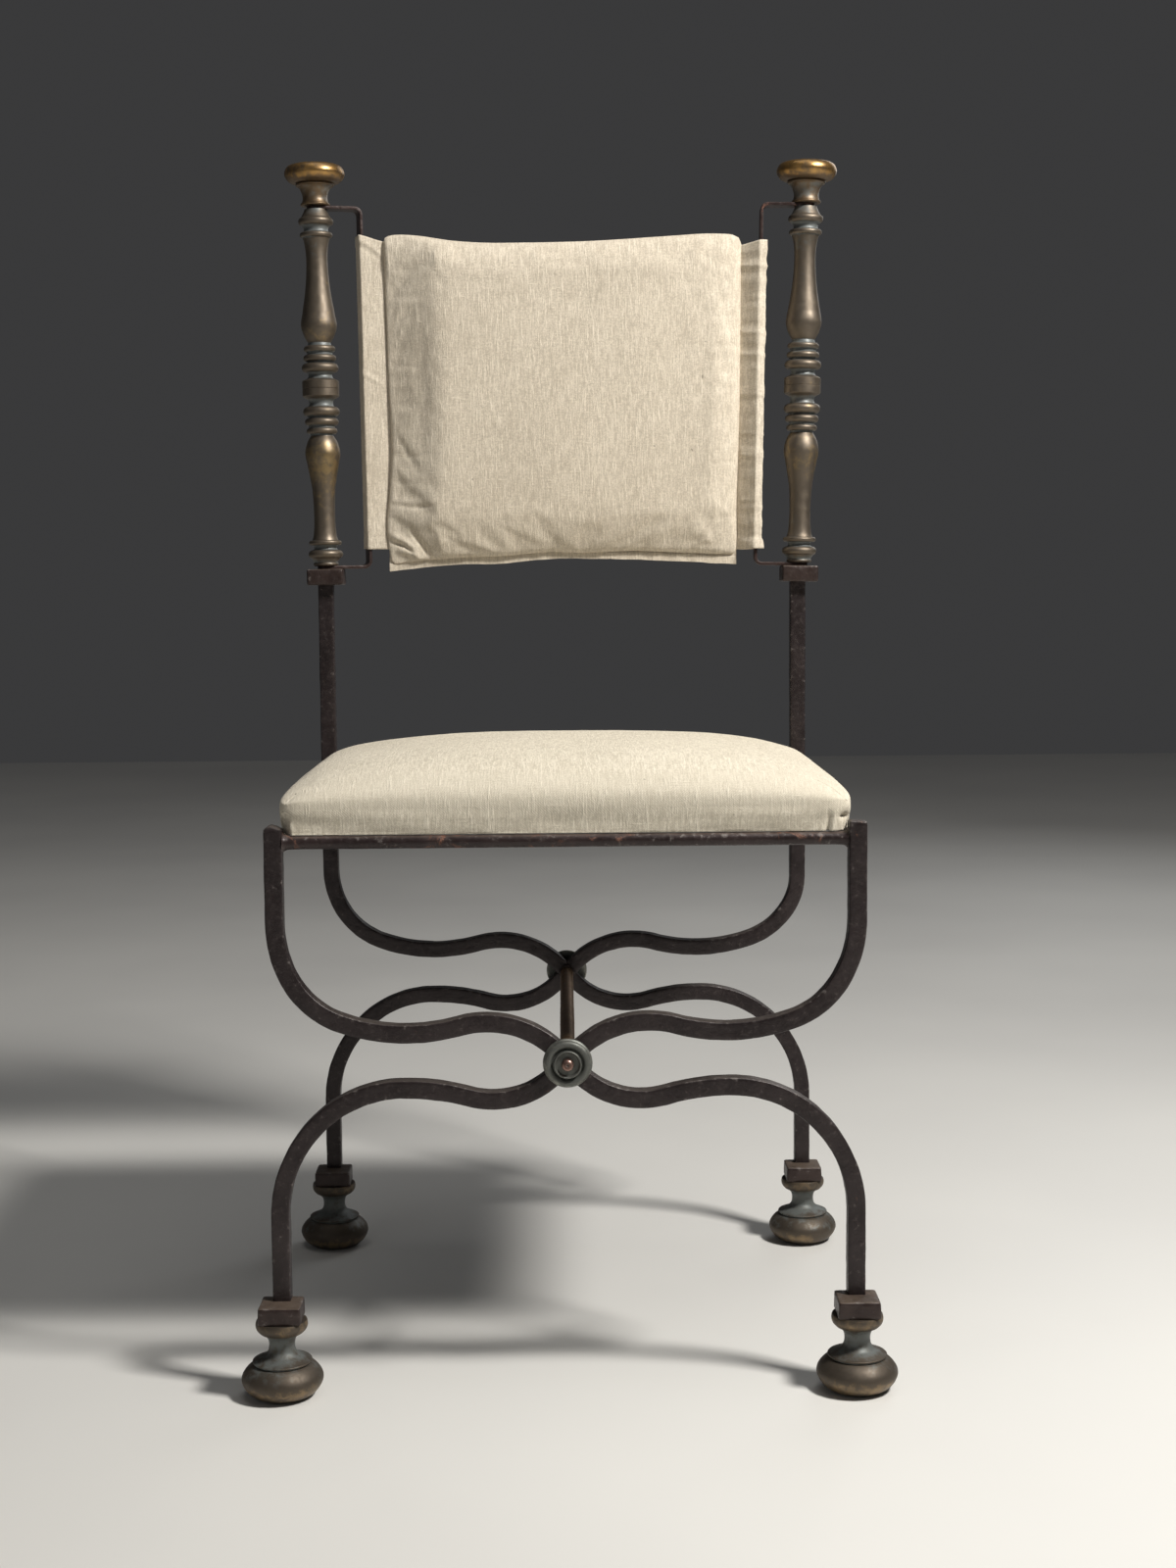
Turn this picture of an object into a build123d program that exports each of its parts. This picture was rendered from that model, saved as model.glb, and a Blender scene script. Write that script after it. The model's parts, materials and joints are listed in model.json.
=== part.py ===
from build123d import *

import math
import os

os.makedirs("parts", exist_ok=True)

# Curule side chair in wrought iron with brass turnings. Millimetres.
# Frame: origin on the floor under the middle of the whole chair, +X to the
# right, +Z up, and the sitter faces -Y. The pieces are drawn about the cross
# frames' own middle, on a datum FLOOR_Z below the floor, and every piece is
# moved by the same PLACE when it is written.

# ---- driving dimensions ------------------------------------------------
FLOOR_Z = 11.0  # height of the floor over the drawing datum
PLACE_Y = 6.9  # puts the origin at the middle of the whole depth
BAR = 14.0  # square section of the wrought bars
HALF = BAR / 2
FRAME_Y = 194.7  # centre planes of the front and rear cross frames
LEG_X = 224.0  # centre of the feet and of the vertical leg ends
FRONT_TOP_X = 224.0  # centre of the front leg tops
POST_X = {-1: 222.0, 1: 219.3}  # centre of the rear bars' upright ends
AXIS_X = {-1: 221.6, 1: 220.8}  # centre of the post blocks and balusters
CROSS_Z = 271.0  # height of the crossing
CROSS_ANGLE = 48.0  # slope of the bars where they cross
LEG_TOP_Z = 457.0  # top of the front legs
BLOCK_TOP_Z = 654.0  # top of the post blocks
BLOCK_H = 14.8
BLOCK_W = 33.4
SPLAY = {-1: 0.68, 1: 1.08}  # outward lean of the brass posts, degrees

RAIL_R = 5.2
RAIL_Z = 442.8

ANKLE_Z0 = 71.0  # foot top, ankle block bottom
ANKLE_Z1 = 84.6  # ankle block top, where the leg bar is welded on
FOOT_OFFSET = 9.7  # feet and ankle blocks sit this far forward of the bars
SPIGOT_R = 4.9  # turned on top of the foot, up into the ankle block
SPIGOT_BORE_R = 5.0
SPIGOT_L = 9.0

ROD_R = 4.0  # tie rod and post rods
ROD_BORE_R = 4.1
STRETCHER_R = 6.0
COLLAR_R = 7.4
COLLAR_L = 6.0

STRAP_T = 3.0
STRAP_W = 16.0
STRAP_REACH = 41.0  # post axis to the middle of the strap's upright
STRAP_BEND_R = 7.5  # outer radius of the strap's bends
STRAP_SWIVEL_L = 17.0  # how far each strap is turned back about its post
STRAP_SWIVEL_R = 2.0

BAND_Z = 820.5  # where the two balusters meet
STACK_TOP_Z = 983.7  # top of the upper baluster
FINIAL_Z = STACK_TOP_Z + STRAP_T
TOTAL_H = 1024.2

SEAT_BOTTOM_Z = 448.3
SEAT_EDGE_Z = 472.0  # where the upright sides turn into the dome
SEAT_TOP_Z = 508.4
SEAT_HALF_W = 221.5
SEAT_HALF_D = 200.5
CLOTH = 1.5

BACK_Y = 201.0  # middle plane of the back cloth
BACK_HALF_W = 163.0
BACK_Z0 = 651.0
BACK_Z1 = 955.0


# ---- helpers ------------------------------------------------------------
def turned(steps):
    """Solid of revolution about Z. steps start with a point (r, z); then
    ("L", r, z) is a line, ("A", r1, z1, r2, z2) an arc through a point, and
    ("S", [(r, z), ...]) a smooth curve. The last point joins the first
    along the bore."""
    at = steps[0]
    edges = []
    for step in steps[1:]:
        p = (at[0], 0, at[1])
        if step[0] == "L":
            q = (step[1], step[2])
            edges.append(Line(p, (q[0], 0, q[1])))
        elif step[0] == "A":
            q = (step[3], step[4])
            edges.append(ThreePointArc(p, (step[1], 0, step[2]), (q[0], 0, q[1])))
        else:
            q = step[1][-1]
            edges.append(Spline(p, *[(r, 0, z) for r, z in step[1]]))
        at = q
    first = steps[0]
    if abs(first[0] - at[0]) + abs(first[1] - at[1]) > 1e-6:
        edges.append(Line((at[0], 0, at[1]), (first[0], 0, first[1])))
    face = make_face(Wire(edges).edges())
    return revolve(face, Axis.Z, 360)


def rod_z(r, z0, z1, x=0.0, y=0.0):
    return Pos(x, y, (z0 + z1) / 2) * Cylinder(r, z1 - z0)


def rod_y(r, y0, y1, x=0.0, z=0.0):
    return Pos(x, (y0 + y1) / 2, z) * Rot(90, 0, 0) * Cylinder(r, y1 - y0)


def rod_x(r, x0, x1, y=0.0, z=0.0):
    return Pos((x0 + x1) / 2, y, z) * Rot(0, 90, 0) * Cylinder(r, x1 - x0)


def block(x0, x1, y0, y1, z0, z1):
    return Pos((x0 + x1) / 2, (y0 + y1) / 2, (z0 + z1) / 2) * Box(
        x1 - x0, y1 - y0, z1 - z0
    )


def half_chain(a0, s0, r1, th, r2, ph1, r3, ph2, x_end, length_end):
    """Centreline of half a bar, from the crossing outwards, as straight and
    round pieces that are tangent to each other: (kind, start, angle, size,
    turn). The last bend's radius is what brings the bar upright at x_end."""
    pieces = []
    x = y = 0.0
    a = math.radians(a0)

    def line(s):
        nonlocal x, y
        pieces.append(("line", x, y, a, s, 0.0))
        x += s * math.cos(a)
        y += s * math.sin(a)

    def arc(r, da):
        nonlocal x, y, a
        s = 1 if da > 0 else -1
        pieces.append(("arc", x, y, a, r, da))
        cx, cy = x - s * r * math.sin(a), y + s * r * math.cos(a)
        a += da
        x, y = cx + s * r * math.sin(a), cy - s * r * math.cos(a)

    line(s0)
    arc(r1, -math.radians(a0 + th))
    arc(r2, math.radians(th + ph1))
    arc(r3, math.radians(ph2 - ph1))
    r4 = (x_end - x) / (1 - math.sin(math.radians(ph2)))
    arc(r4, math.radians(90 - ph2))
    line(length_end - y)
    return pieces, r4


def side_points(pieces, off):
    """Edges of the line that runs off mm to the left of the centreline."""
    out = []
    for kind, x, y, a, size, da in pieces:
        nx, ny = -math.sin(a), math.cos(a)
        p = (x + off * nx, y + off * ny)
        if kind == "line":
            q = (p[0] + size * math.cos(a), p[1] + size * math.sin(a))
            out.append((p, None, q))
        else:
            s = 1 if da > 0 else -1
            r = size - s * off
            cx, cy = x - s * size * math.sin(a), y + s * size * math.cos(a)
            m, e = a + da / 2, a + da
            mid = (cx + s * r * math.sin(m), cy - s * r * math.cos(m))
            q = (cx + s * r * math.sin(e), cy - s * r * math.cos(e))
            out.append((p, mid, q))
    return out


def half_bar_face(pieces, sx, sz):
    """The half bar's outline in the XZ plane, mirrored by sx and sz and
    moved to the crossing."""

    def at(p):
        return (sx * p[0], 0, CROSS_Z + sz * p[1])

    edges = []
    left, right = side_points(pieces, HALF), side_points(pieces, -HALF)
    for p, m, q in left + right:
        if m is None:
            edges.append(Line(at(p), at(q)))
        else:
            edges.append(ThreePointArc(at(p), at(m), at(q)))
    edges.append(Line(at(left[0][0]), at(right[0][0])))
    edges.append(Line(at(left[-1][2]), at(right[-1][2])))
    return make_face(edges)


def bar_solid(upper, lower, side, y):
    """One S-bar: foot on the side given, top on the other."""
    solids = []
    for pieces, sx, sz in ((upper, -side, 1), (lower, side, -1)):
        face = half_bar_face(pieces, sx, sz)
        solids.append(Pos(0, y - HALF, 0) * extrude(face, BAR, dir=(0, 1, 0)))
    body = solids[0] + solids[1]
    return body


# ---- the S-bars -----------------------------------------------------------
upper_front, r4_uf = half_chain(
    CROSS_ANGLE, 6.8, 78.5, 15.2, 153.1, 19.3, 70.2, 60.4, FRONT_TOP_X, LEG_TOP_Z - CROSS_Z
)
upper_rear, r4_ur = {}, {}
for side in (-1, 1):
    upper_rear[side], r4_ur[side] = half_chain(
        CROSS_ANGLE, 6.8, 78.5, 15.2, 153.1, 19.3, 70.2, 60.4, POST_X[side], 645.0 - CROSS_Z
    )
lower, r4_lo = half_chain(
    CROSS_ANGLE, 9.5, 68.8, 15.9, 179.3, 1.0, 94.9, 41.9, LEG_X, CROSS_Z - ANKLE_Z1
)
print("last bends", round(r4_uf, 1), round(r4_ur[-1], 1), round(r4_ur[1], 1), round(r4_lo, 1))


def halved(body, other, y, keep_front):
    """Half-lap at the crossing: each bar gives up half its depth there."""
    window = block(-24, 24, y - HALF - 1, y + HALF + 1, CROSS_Z - 24, CROSS_Z + 24)
    if keep_front:
        cut = block(-24, 24, y, y + HALF + 1, CROSS_Z - 24, CROSS_Z + 24)
    else:
        cut = block(-24, 24, y - HALF - 1, y, CROSS_Z - 24, CROSS_Z + 24)
    return body - ((other & window) & cut)


front_left = bar_solid(upper_front, lower, -1, -FRAME_Y)
front_right = bar_solid(upper_front, lower, 1, -FRAME_Y)
rear_left = bar_solid(upper_rear[1], lower, -1, FRAME_Y)  # its post is on the right
rear_right = bar_solid(upper_rear[-1], lower, 1, FRAME_Y)

bars = {
    "front_leg_bar_left": halved(front_left, front_right, -FRAME_Y, True),
    "front_leg_bar_right": halved(front_right, front_left, -FRAME_Y, False),
    "rear_leg_bar_left": halved(rear_left, rear_right, FRAME_Y, False),
    "rear_leg_bar_right": halved(rear_right, rear_left, FRAME_Y, True),
}
for name, y in (
    ("front_leg_bar_left", -FRAME_Y),
    ("front_leg_bar_right", -FRAME_Y),
    ("rear_leg_bar_left", FRAME_Y),
    ("rear_leg_bar_right", FRAME_Y),
):
    bars[name] = bars[name] - rod_y(ROD_BORE_R, y - 20, y + 20, 0, CROSS_Z)

# chiselled ends of the front legs: four shallow slopes
for name, x in (("front_leg_bar_right", -FRONT_TOP_X), ("front_leg_bar_left", FRONT_TOP_X)):
    for ang in (0, 90, 180, 270):
        wedge = Pos(x, -FRAME_Y, LEG_TOP_Z) * Rot(0, 0, ang) * Pos(HALF, 0, 0) * Rot(
            0, -45, 0
        ) * Box(4, 30, 2.4)
        bars[name] = bars[name] - wedge

# ---- brass posts: everything above the blocks leans out by SPLAY ----------
def lean(side):
    """Moves a piece built upright about x = y = 0, at its true height, onto
    the post on the side given."""
    return (
        Pos(side * AXIS_X[side], FRAME_Y, BLOCK_TOP_Z)
        * Rot(0, side * SPLAY[side], 0)
        * Pos(0, 0, -BLOCK_TOP_Z)
    )


baluster_lower = turned(
    [
        (ROD_BORE_R, BLOCK_TOP_Z + STRAP_T),
        ("L", 10.6, BLOCK_TOP_Z + STRAP_T),
        ("A", 11.7, 658.5, 10.9, 660.2),
        ("S", [(11.6, 661.6), (13.4, 664.2)]),
        ("A", 16.0, 668.3, 12.0, 671.8),
        ("A", 10.5, 674.0, 12.0, 676.5),
        ("A", 15.3, 678.4, 12.2, 680.6),
        ("S", [(11.0, 684.5), (10.1, 692.0), (9.8, 709.0), (10.7, 727.5), (12.1, 737.0), (14.4, 750.0), (16.2, 761.5), (13.9, 771.5), (10.5, 777.4)]),
        ("L", 10.6, 779.0),
        ("A", 14.3, 781.6, 12.0, 784.6),
        ("L", 11.9, 786.6),
        ("A", 15.6, 790.6, 11.7, 793.6),
        ("L", 11.6, 795.0),
        ("A", 16.9, 799.8, 12.2, 804.0),
        ("A", 11.0, 807.6, 13.2, 811.4),
        ("L", 16.0, 812.8),
        ("L", 17.0, 813.8),
        ("L", 17.0, 820.1),
        ("L", 16.6, BAND_Z),
        ("L", ROD_BORE_R, BAND_Z),
    ]
)
baluster_upper = turned(
    [
        (ROD_BORE_R, BAND_Z),
        ("L", 16.6, BAND_Z),
        ("L", 17.0, 820.9),
        ("L", 17.0, 827.2),
        ("L", 16.0, 828.2),
        ("L", 13.2, 829.4),
        ("A", 11.0, 832.4, 12.2, 835.4),
        ("A", 17.0, 839.4, 11.4, 843.6),
        ("L", 11.2, 845.6),
        ("A", 15.2, 848.6, 11.8, 851.6),
        ("L", 11.8, 853.8),
        ("A", 14.6, 857.2, 11.0, 859.8),
        ("L", 10.3, 862.4),
        ("S", [(13.6, 868.2), (16.5, 878.0), (14.9, 889.4), (12.2, 906.0), (10.9, 917.0), (9.9, 932.0), (10.1, 945.0), (11.2, 953.0), (12.6, 958.0)]),
        ("A", 15.1, 960.6, 12.0, 962.8),
        ("A", 11.2, 966.0, 13.0, 969.0),
        ("A", 16.1, 972.2, 13.6, 976.2),
        ("S", [(11.4, 980.4), (10.4, 982.6), (10.1, STACK_TOP_Z)]),
        ("L", ROD_BORE_R, STACK_TOP_Z),
    ]
)
finial = turned(
    [
        (ROD_BORE_R, FINIAL_Z),
        ("L", 12.4, FINIAL_Z),
        ("A", 13.5, 988.0, 12.4, 989.4),
        ("S", [(11.6, 991.6), (11.4, 994.6), (12.2, 998.4), (13.8, 1002.0), (15.6, 1004.2)]),
        ("A", 17.6, 1005.4, 17.0, 1007.0),
        ("S", [(20.0, 1007.2), (24.6, 1009.6), (27.6, 1015.4), (25.2, 1021.4), (19.0, 1023.8), (9.0, TOTAL_H), (0.0, TOTAL_H)]),
        ("L", 0.0, 1006.0),
        ("L", ROD_BORE_R, 1006.0),
    ]
)
post_rod = rod_z(ROD_R, BLOCK_TOP_Z - 30, 1005.0)
rod_hole = rod_z(ROD_BORE_R, BLOCK_TOP_Z - 31, BLOCK_TOP_Z + 20)

post_block_body = block(
    -BLOCK_W / 2, BLOCK_W / 2, -BLOCK_W / 2, BLOCK_W / 2, BLOCK_TOP_Z - BLOCK_H, BLOCK_TOP_Z
)
post_block_body = chamfer(post_block_body.edges().filter_by(Axis.Z), 1.2)


def strap(swivel, side):
    """Flat iron bent like a square bracket, eyes at both ends on the post's
    axis. Built for the left post, its uprights towards +X."""
    z0, z1 = BLOCK_TOP_Z, FINIAL_Z
    out = STRAP_REACH + STRAP_T / 2
    ro, ri = STRAP_BEND_R, STRAP_BEND_R - STRAP_T
    outer = [
        Line((0, 0, z0), (out - ro, 0, z0)),
        ThreePointArc(
            (out - ro, 0, z0),
            (out - ro + ro * math.sin(math.pi / 4), 0, z0 + ro - ro * math.cos(math.pi / 4)),
            (out, 0, z0 + ro),
        ),
        Line((out, 0, z0 + ro), (out, 0, z1 - ro)),
        ThreePointArc(
            (out, 0, z1 - ro),
            (out - ro + ro * math.sin(math.pi / 4), 0, z1 - ro + ro * math.cos(math.pi / 4)),
            (out - ro, 0, z1),
        ),
        Line((out - ro, 0, z1), (0, 0, z1)),
        Line((0, 0, z1), (0, 0, z1 - STRAP_T)),
        Line((0, 0, z1 - STRAP_T), (out - ro, 0, z1 - STRAP_T)),
        ThreePointArc(
            (out - ro, 0, z1 - STRAP_T),
            (out - ro + ri * math.sin(math.pi / 4), 0, z1 - ro + ri * math.cos(math.pi / 4)),
            (out - STRAP_T, 0, z1 - ro),
        ),
        Line((out - STRAP_T, 0, z1 - ro), (out - STRAP_T, 0, z0 + ro)),
        ThreePointArc(
            (out - STRAP_T, 0, z0 + ro),
            (out - ro + ri * math.sin(math.pi / 4), 0, z0 + ro - ri * math.cos(math.pi / 4)),
            (out - ro, 0, z0 + STRAP_T),
        ),
        Line((out - ro, 0, z0 + STRAP_T), (0, 0, z0 + STRAP_T)),
        Line((0, 0, z0 + STRAP_T), (0, 0, z0)),
    ]
    face = make_face(outer)
    body = Pos(0, -STRAP_W / 2, 0) * extrude(face, STRAP_W, dir=(0, 1, 0))
    body = body + rod_z(STRAP_W / 2, z0, z0 + STRAP_T) + rod_z(STRAP_W / 2, z1 - STRAP_T, z1)
    body = body - rod_z(ROD_BORE_R, z0 - 5, z1 + 5)
    if side > 0:
        body = mirror(body, Plane.YZ)
    return Rot(0, 0, -side * swivel) * body


posts = {}
for word, side, swivel in (("left", -1, STRAP_SWIVEL_L), ("right", 1, STRAP_SWIVEL_R)):
    put = lean(side)
    hole = put * rod_hole
    # the bar whose foot is on the other side carries this post
    bar_name = "rear_leg_bar_right" if side < 0 else "rear_leg_bar_left"
    bar = bars[bar_name] - hole
    bars[bar_name] = bar
    posts["post_block_" + word] = (put * post_block_body) - bar - hole
    posts["post_rod_" + word] = put * post_rod
    posts["baluster_lower_" + word] = put * baluster_lower
    posts["baluster_upper_" + word] = put * baluster_upper
    posts["finial_" + word] = put * finial
    posts["back_strap_" + word] = put * strap(swivel, side)

# ---- ankles and feet --------------------------------------------------------
foot = turned(
    [
        (0.0, 0.0),
        ("L", 17.5, 0.0),
        ("L", 20.0, 0.4),
        ("S", [(23.8, 2.2), (27.5, 5.3), (30.3, 9.3), (31.7, 13.8), (31.0, 17.6), (28.2, 21.8), (24.8, 24.8), (22.6, 26.1)]),
        ("L", 21.6, 26.3),
        ("L", 21.6, 27.0),
        ("L", 22.7, 27.2),
        ("A", 23.2, 28.0, 22.4, 28.7),
        ("S", [(20.4, 29.5), (17.0, 31.1), (13.4, 33.0), (10.9, 35.9), (10.1, 39.5), (10.2, 43.0), (11.2, 46.3), (13.6, 48.9), (16.8, 50.6)]),
        ("L", 17.4, 51.2),
        ("A", 20.2, 55.9, 19.6, ANKLE_Z0 - FLOOR_Z),
        ("L", SPIGOT_R, ANKLE_Z0 - FLOOR_Z),
        ("L", SPIGOT_R, ANKLE_Z0 - FLOOR_Z + SPIGOT_L),
        ("L", 0.0, ANKLE_Z0 - FLOOR_Z + SPIGOT_L),
    ]
)
ankle = block(-BLOCK_W / 2, BLOCK_W / 2, -BLOCK_W / 2, BLOCK_W / 2, ANKLE_Z0, ANKLE_Z1)
ankle = chamfer(ankle.edges().filter_by(Axis.Z), 1.0)
ankle = ankle - rod_z(SPIGOT_BORE_R, ANKLE_Z0 - 1, ANKLE_Z0 + SPIGOT_L + 0.5)

feet = {}
for fb, y in (("front", -FRAME_Y - FOOT_OFFSET), ("rear", FRAME_Y - FOOT_OFFSET)):
    for lr, x in (("left", -LEG_X), ("right", LEG_X)):
        feet[f"foot_{fb}_{lr}"] = Pos(x, y, FLOOR_Z) * foot
        feet[f"foot_block_{fb}_{lr}"] = Pos(x, y, 0) * ankle

# ---- crossing hardware ------------------------------------------------------
FACE = FRAME_Y + HALF  # outer faces of the cross frames
NUT_SEAT = 6.6
boss = turned(
    [
        (ROD_BORE_R, 0.0),
        ("L", 18.4, 0.0),
        ("A", 19.2, 1.3, 18.6, 2.6),
        ("L", 17.8, 3.2),
        ("A", 15.4, 7.4, 12.2, 5.6),
        ("L", 11.6, 4.8),
        ("L", 10.8, 4.8),
        ("L", 10.8, 8.6),
        ("A", 10.2, 9.3, 9.4, 8.8),
        ("L", 8.6, NUT_SEAT),
        ("L", ROD_BORE_R, NUT_SEAT),
    ]
)
dome = turned(
    [
        (0.0, NUT_SEAT + 3.0),
        ("L", ROD_BORE_R, NUT_SEAT + 3.0),
        ("L", ROD_BORE_R, NUT_SEAT),
        ("L", 4.8, NUT_SEAT),
        ("L", 4.8, NUT_SEAT + 1.8),
        ("S", [(4.2, NUT_SEAT + 4.0), (2.4, NUT_SEAT + 5.3), (0.0, NUT_SEAT + 5.7)]),
    ]
)
front_way = Pos(0, -FACE, CROSS_Z) * Rot(90, 0, 0)
rear_way = Pos(0, FACE, CROSS_Z) * Rot(-90, 0, 0)
inner_face = FRAME_Y - HALF
collar = turned(
    [
        (ROD_BORE_R, 0.0),
        ("L", 7.1, 0.0),
        ("A", COLLAR_R, COLLAR_L / 2, 6.7, COLLAR_L),
        ("L", ROD_BORE_R, COLLAR_L),
    ]
)
hardware = {
    "tie_rod": rod_y(ROD_R, -(FACE + NUT_SEAT + 2.6), FACE + NUT_SEAT + 2.6, 0, CROSS_Z),
    "stretcher_tube": rod_y(STRETCHER_R, -(inner_face - COLLAR_L), inner_face - COLLAR_L, 0, CROSS_Z)
    - rod_y(ROD_BORE_R, -200, 200, 0, CROSS_Z),
    "stretcher_collar_front": Pos(0, -inner_face, CROSS_Z) * Rot(-90, 0, 0) * collar,
    "stretcher_collar_rear": Pos(0, inner_face, CROSS_Z) * Rot(90, 0, 0) * collar,
    "front_boss": front_way * boss,
    "rear_boss": rear_way * boss,
    "dome_nut_front": front_way * dome,
    "dome_nut_rear": rear_way * dome,
}

# ---- seat rails ---------------------------------------------------------------
side_in = FRAME_Y - HALF
mid_x = {side: (FRONT_TOP_X + POST_X[side]) / 2 for side in (-1, 1)}
rails = {
    "seat_rail_front": rod_x(RAIL_R, -(FRONT_TOP_X - HALF), FRONT_TOP_X - HALF, -FRAME_Y, RAIL_Z),
    "seat_rail_rear": rod_x(RAIL_R, -(POST_X[-1] - HALF), POST_X[1] - HALF, FRAME_Y, RAIL_Z),
    "seat_rail_left": rod_y(RAIL_R, -side_in, side_in, -mid_x[-1], RAIL_Z),
    "seat_rail_right": rod_y(RAIL_R, -side_in, side_in, mid_x[1], RAIL_Z),
}


# ---- drop-in seat ----------------------------------------------------------
def crowned(hw, hd, z0, z_edge, z_top):
    """Domed pad: sides that draw in a little towards the rails, then rounded
    rectangles lofted over the crown. Each row of the crown holds its share of
    the rise, how far it stands in at the sides and at the front and rear, and
    its corner radius."""
    rows = [
        (z0, 1.5, 4.0, 12.0),
        (z0 + 9.0, 0.5, 1.6, 13.0),
        (z0 + 18.0, 0.0, 0.2, 14.0),
        (z_edge, 0.0, 0.0, 14.0),
    ]
    for t, inset_x, inset_y, r in (
        (0.18, 1.5, 0.9, 15.0),
        (0.40, 10.0, 6.6, 18.0),
        (0.60, 27.5, 18.6, 24.0),
        (0.76, 53.0, 37.0, 32.0),
        (0.88, 86.0, 62.0, 40.0),
        (0.95, 121.0, 91.0, 40.0),
        (1.0, 165.0, 135.0, 20.0),
    ):
        rows.append((z_edge + t * (z_top - z_edge), inset_x, inset_y, r))
    sections = []
    for z, inset_x, inset_y, r in rows:
        sections.append(
            Pos(0, 0, z) * RectangleRounded(2 * (hw - inset_x), 2 * (hd - inset_y), r)
        )
    return loft(sections, ruled=True)


def corner_notches(grow):
    g = 0.8 + grow
    cuts = []
    for side in (-1, 1):
        xi = FRONT_TOP_X - HALF - g
        cuts.append(block(*sorted((side * xi, side * 260)), -260, -(FRAME_Y - HALF - g), 400, LEG_TOP_Z + 1.0 + grow))
        xi = POST_X[side] - HALF - g
        cuts.append(block(*sorted((side * xi, side * 260)), FRAME_Y - HALF - g, 260, 400, 700))
    return cuts


seat_outer = crowned(SEAT_HALF_W, SEAT_HALF_D, SEAT_BOTTOM_Z, SEAT_EDGE_Z, SEAT_TOP_Z)
seat_inner = crowned(
    SEAT_HALF_W - CLOTH, SEAT_HALF_D - CLOTH, SEAT_BOTTOM_Z + CLOTH, SEAT_EDGE_Z - CLOTH, SEAT_TOP_Z - CLOTH
)
for cut in corner_notches(0.0):
    seat_outer = seat_outer - cut
for cut in corner_notches(CLOTH):
    seat_inner = seat_inner - cut
BOARD_Z = SEAT_BOTTOM_Z + CLOTH
seat_board = block(-212, 212, -193, 193, BOARD_Z, BOARD_Z + 12)
notch_w, notch_d = 6.0, 14.0
for side in (-1, 1):
    for y in (-1, 1):
        seat_board = seat_board - block(
            *sorted((side * (212 - notch_w), side * 230)),
            *sorted((y * (193 - notch_d), y * 230)),
            400,
            500,
        )
opening = block(-190, 190, -172, 172, SEAT_BOTTOM_Z - 1, BOARD_Z + 0.5)
seat_cover = seat_outer - seat_inner - opening
seat_stuffing = seat_inner - seat_board
dust_cloth = block(-197, 197, -179, 179, SEAT_BOTTOM_Z - 0.8, SEAT_BOTTOM_Z)
seat = {
    "seat_board": seat_board,
    "seat_stuffing": seat_stuffing,
    "seat_cover": seat_cover,
    "seat_dust_cloth": dust_cloth,
}

# ---- linen back ---------------------------------------------------------------
PANEL_T = 2.0
cushion = block(
    -BACK_HALF_W + 1, BACK_HALF_W - 1, BACK_Y - 26, BACK_Y - PANEL_T / 2, BACK_Z0 + 7, BACK_Z1
)
cushion = fillet(cushion.edges().filter_by(Axis.Y), 12)
cushion = fillet(cushion.faces().sort_by(Axis.Y)[0].edges(), 11)
panel = block(-BACK_HALF_W, BACK_HALF_W, BACK_Y - PANEL_T / 2, BACK_Y + PANEL_T / 2, BACK_Z0, BACK_Z1 - 3)

SLEEVE_GAP = 1.1  # loose cloth round the strap
SLEEVE_T = 1.5


def sleeve(side, swivel, z0, z1):
    """Cloth loop round the strap's upright, closing to the panel's edge. It
    leans with the strap."""
    put = lean(side)
    ang = math.radians(-side * swivel)
    u = (-side * math.cos(ang), -side * math.sin(ang))  # from the post inwards
    w = (-math.sin(ang), math.cos(ang))  # across the strap, to the rear

    def loop(z, t):
        mid = put * Pos(0, 0, z) * Rot(0, 0, -side * swivel) * Pos(-side * STRAP_REACH, 0, 0)
        cx, cy = mid.position.X, mid.position.Y
        a = STRAP_T / 2 + SLEEVE_GAP + t
        b = STRAP_W / 2 + SLEEVE_GAP + t
        end = side * BACK_HALF_W
        tip = [(end, BACK_Y + PANEL_T / 2), (end, BACK_Y - PANEL_T / 2)]
        if t == 0:
            tip = [(end + side * 4, BACK_Y + 0.3), (end + side * 4, BACK_Y - 0.3)]
        pts = [
            (cx - a * u[0] - b * w[0], cy - a * u[1] - b * w[1]),
            (cx - a * u[0] + b * w[0], cy - a * u[1] + b * w[1]),
            (cx + (a + 1) * u[0] + b * w[0], cy + (a + 1) * u[1] + b * w[1]),
            *tip,
            (cx + (a + 1) * u[0] - b * w[0], cy + (a + 1) * u[1] - b * w[1]),
        ]
        return make_face(Polyline(*[(x, y, z) for x, y in pts], close=True).edges())

    outer = loft([loop(z0, SLEEVE_T), loop(z1, SLEEVE_T)], ruled=True)
    inner = loft([loop(z0 - 2, 0.0), loop(z1 + 2, 0.0)], ruled=True)
    return outer - inner


back = {
    "back_cushion": cushion,
    "back_panel": panel,
    "back_sleeve_left": sleeve(-1, STRAP_SWIVEL_L, 672.5, 961.5),
    "back_sleeve_right": sleeve(1, STRAP_SWIVEL_R, 669.5, 953.0),
}

# ---- write every piece ---------------------------------------------------------
everything = {}
for group in (bars, posts, feet, hardware, rails, seat, back):
    everything.update(group)

for name, shape in everything.items():
    solids = (Pos(0, PLACE_Y, -FLOOR_Z) * shape).solids()
    out = solids[0] if len(solids) == 1 else Compound(children=list(solids))
    export_step(out, f"parts/{name}.step")
    box = out.bounding_box()
    print(
        f"{name:26s} solids {len(solids)} volume {sum(s.volume for s in solids):10.1f} "
        f"x {box.min.X:8.2f} {box.max.X:8.2f} y {box.min.Y:8.2f} {box.max.Y:8.2f} z {box.min.Z:8.2f} {box.max.Z:8.2f}"
    )
print(len(everything), "nodes")
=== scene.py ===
import json
import math

import bpy
import numpy as np
from mathutils import Matrix, Vector

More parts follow.
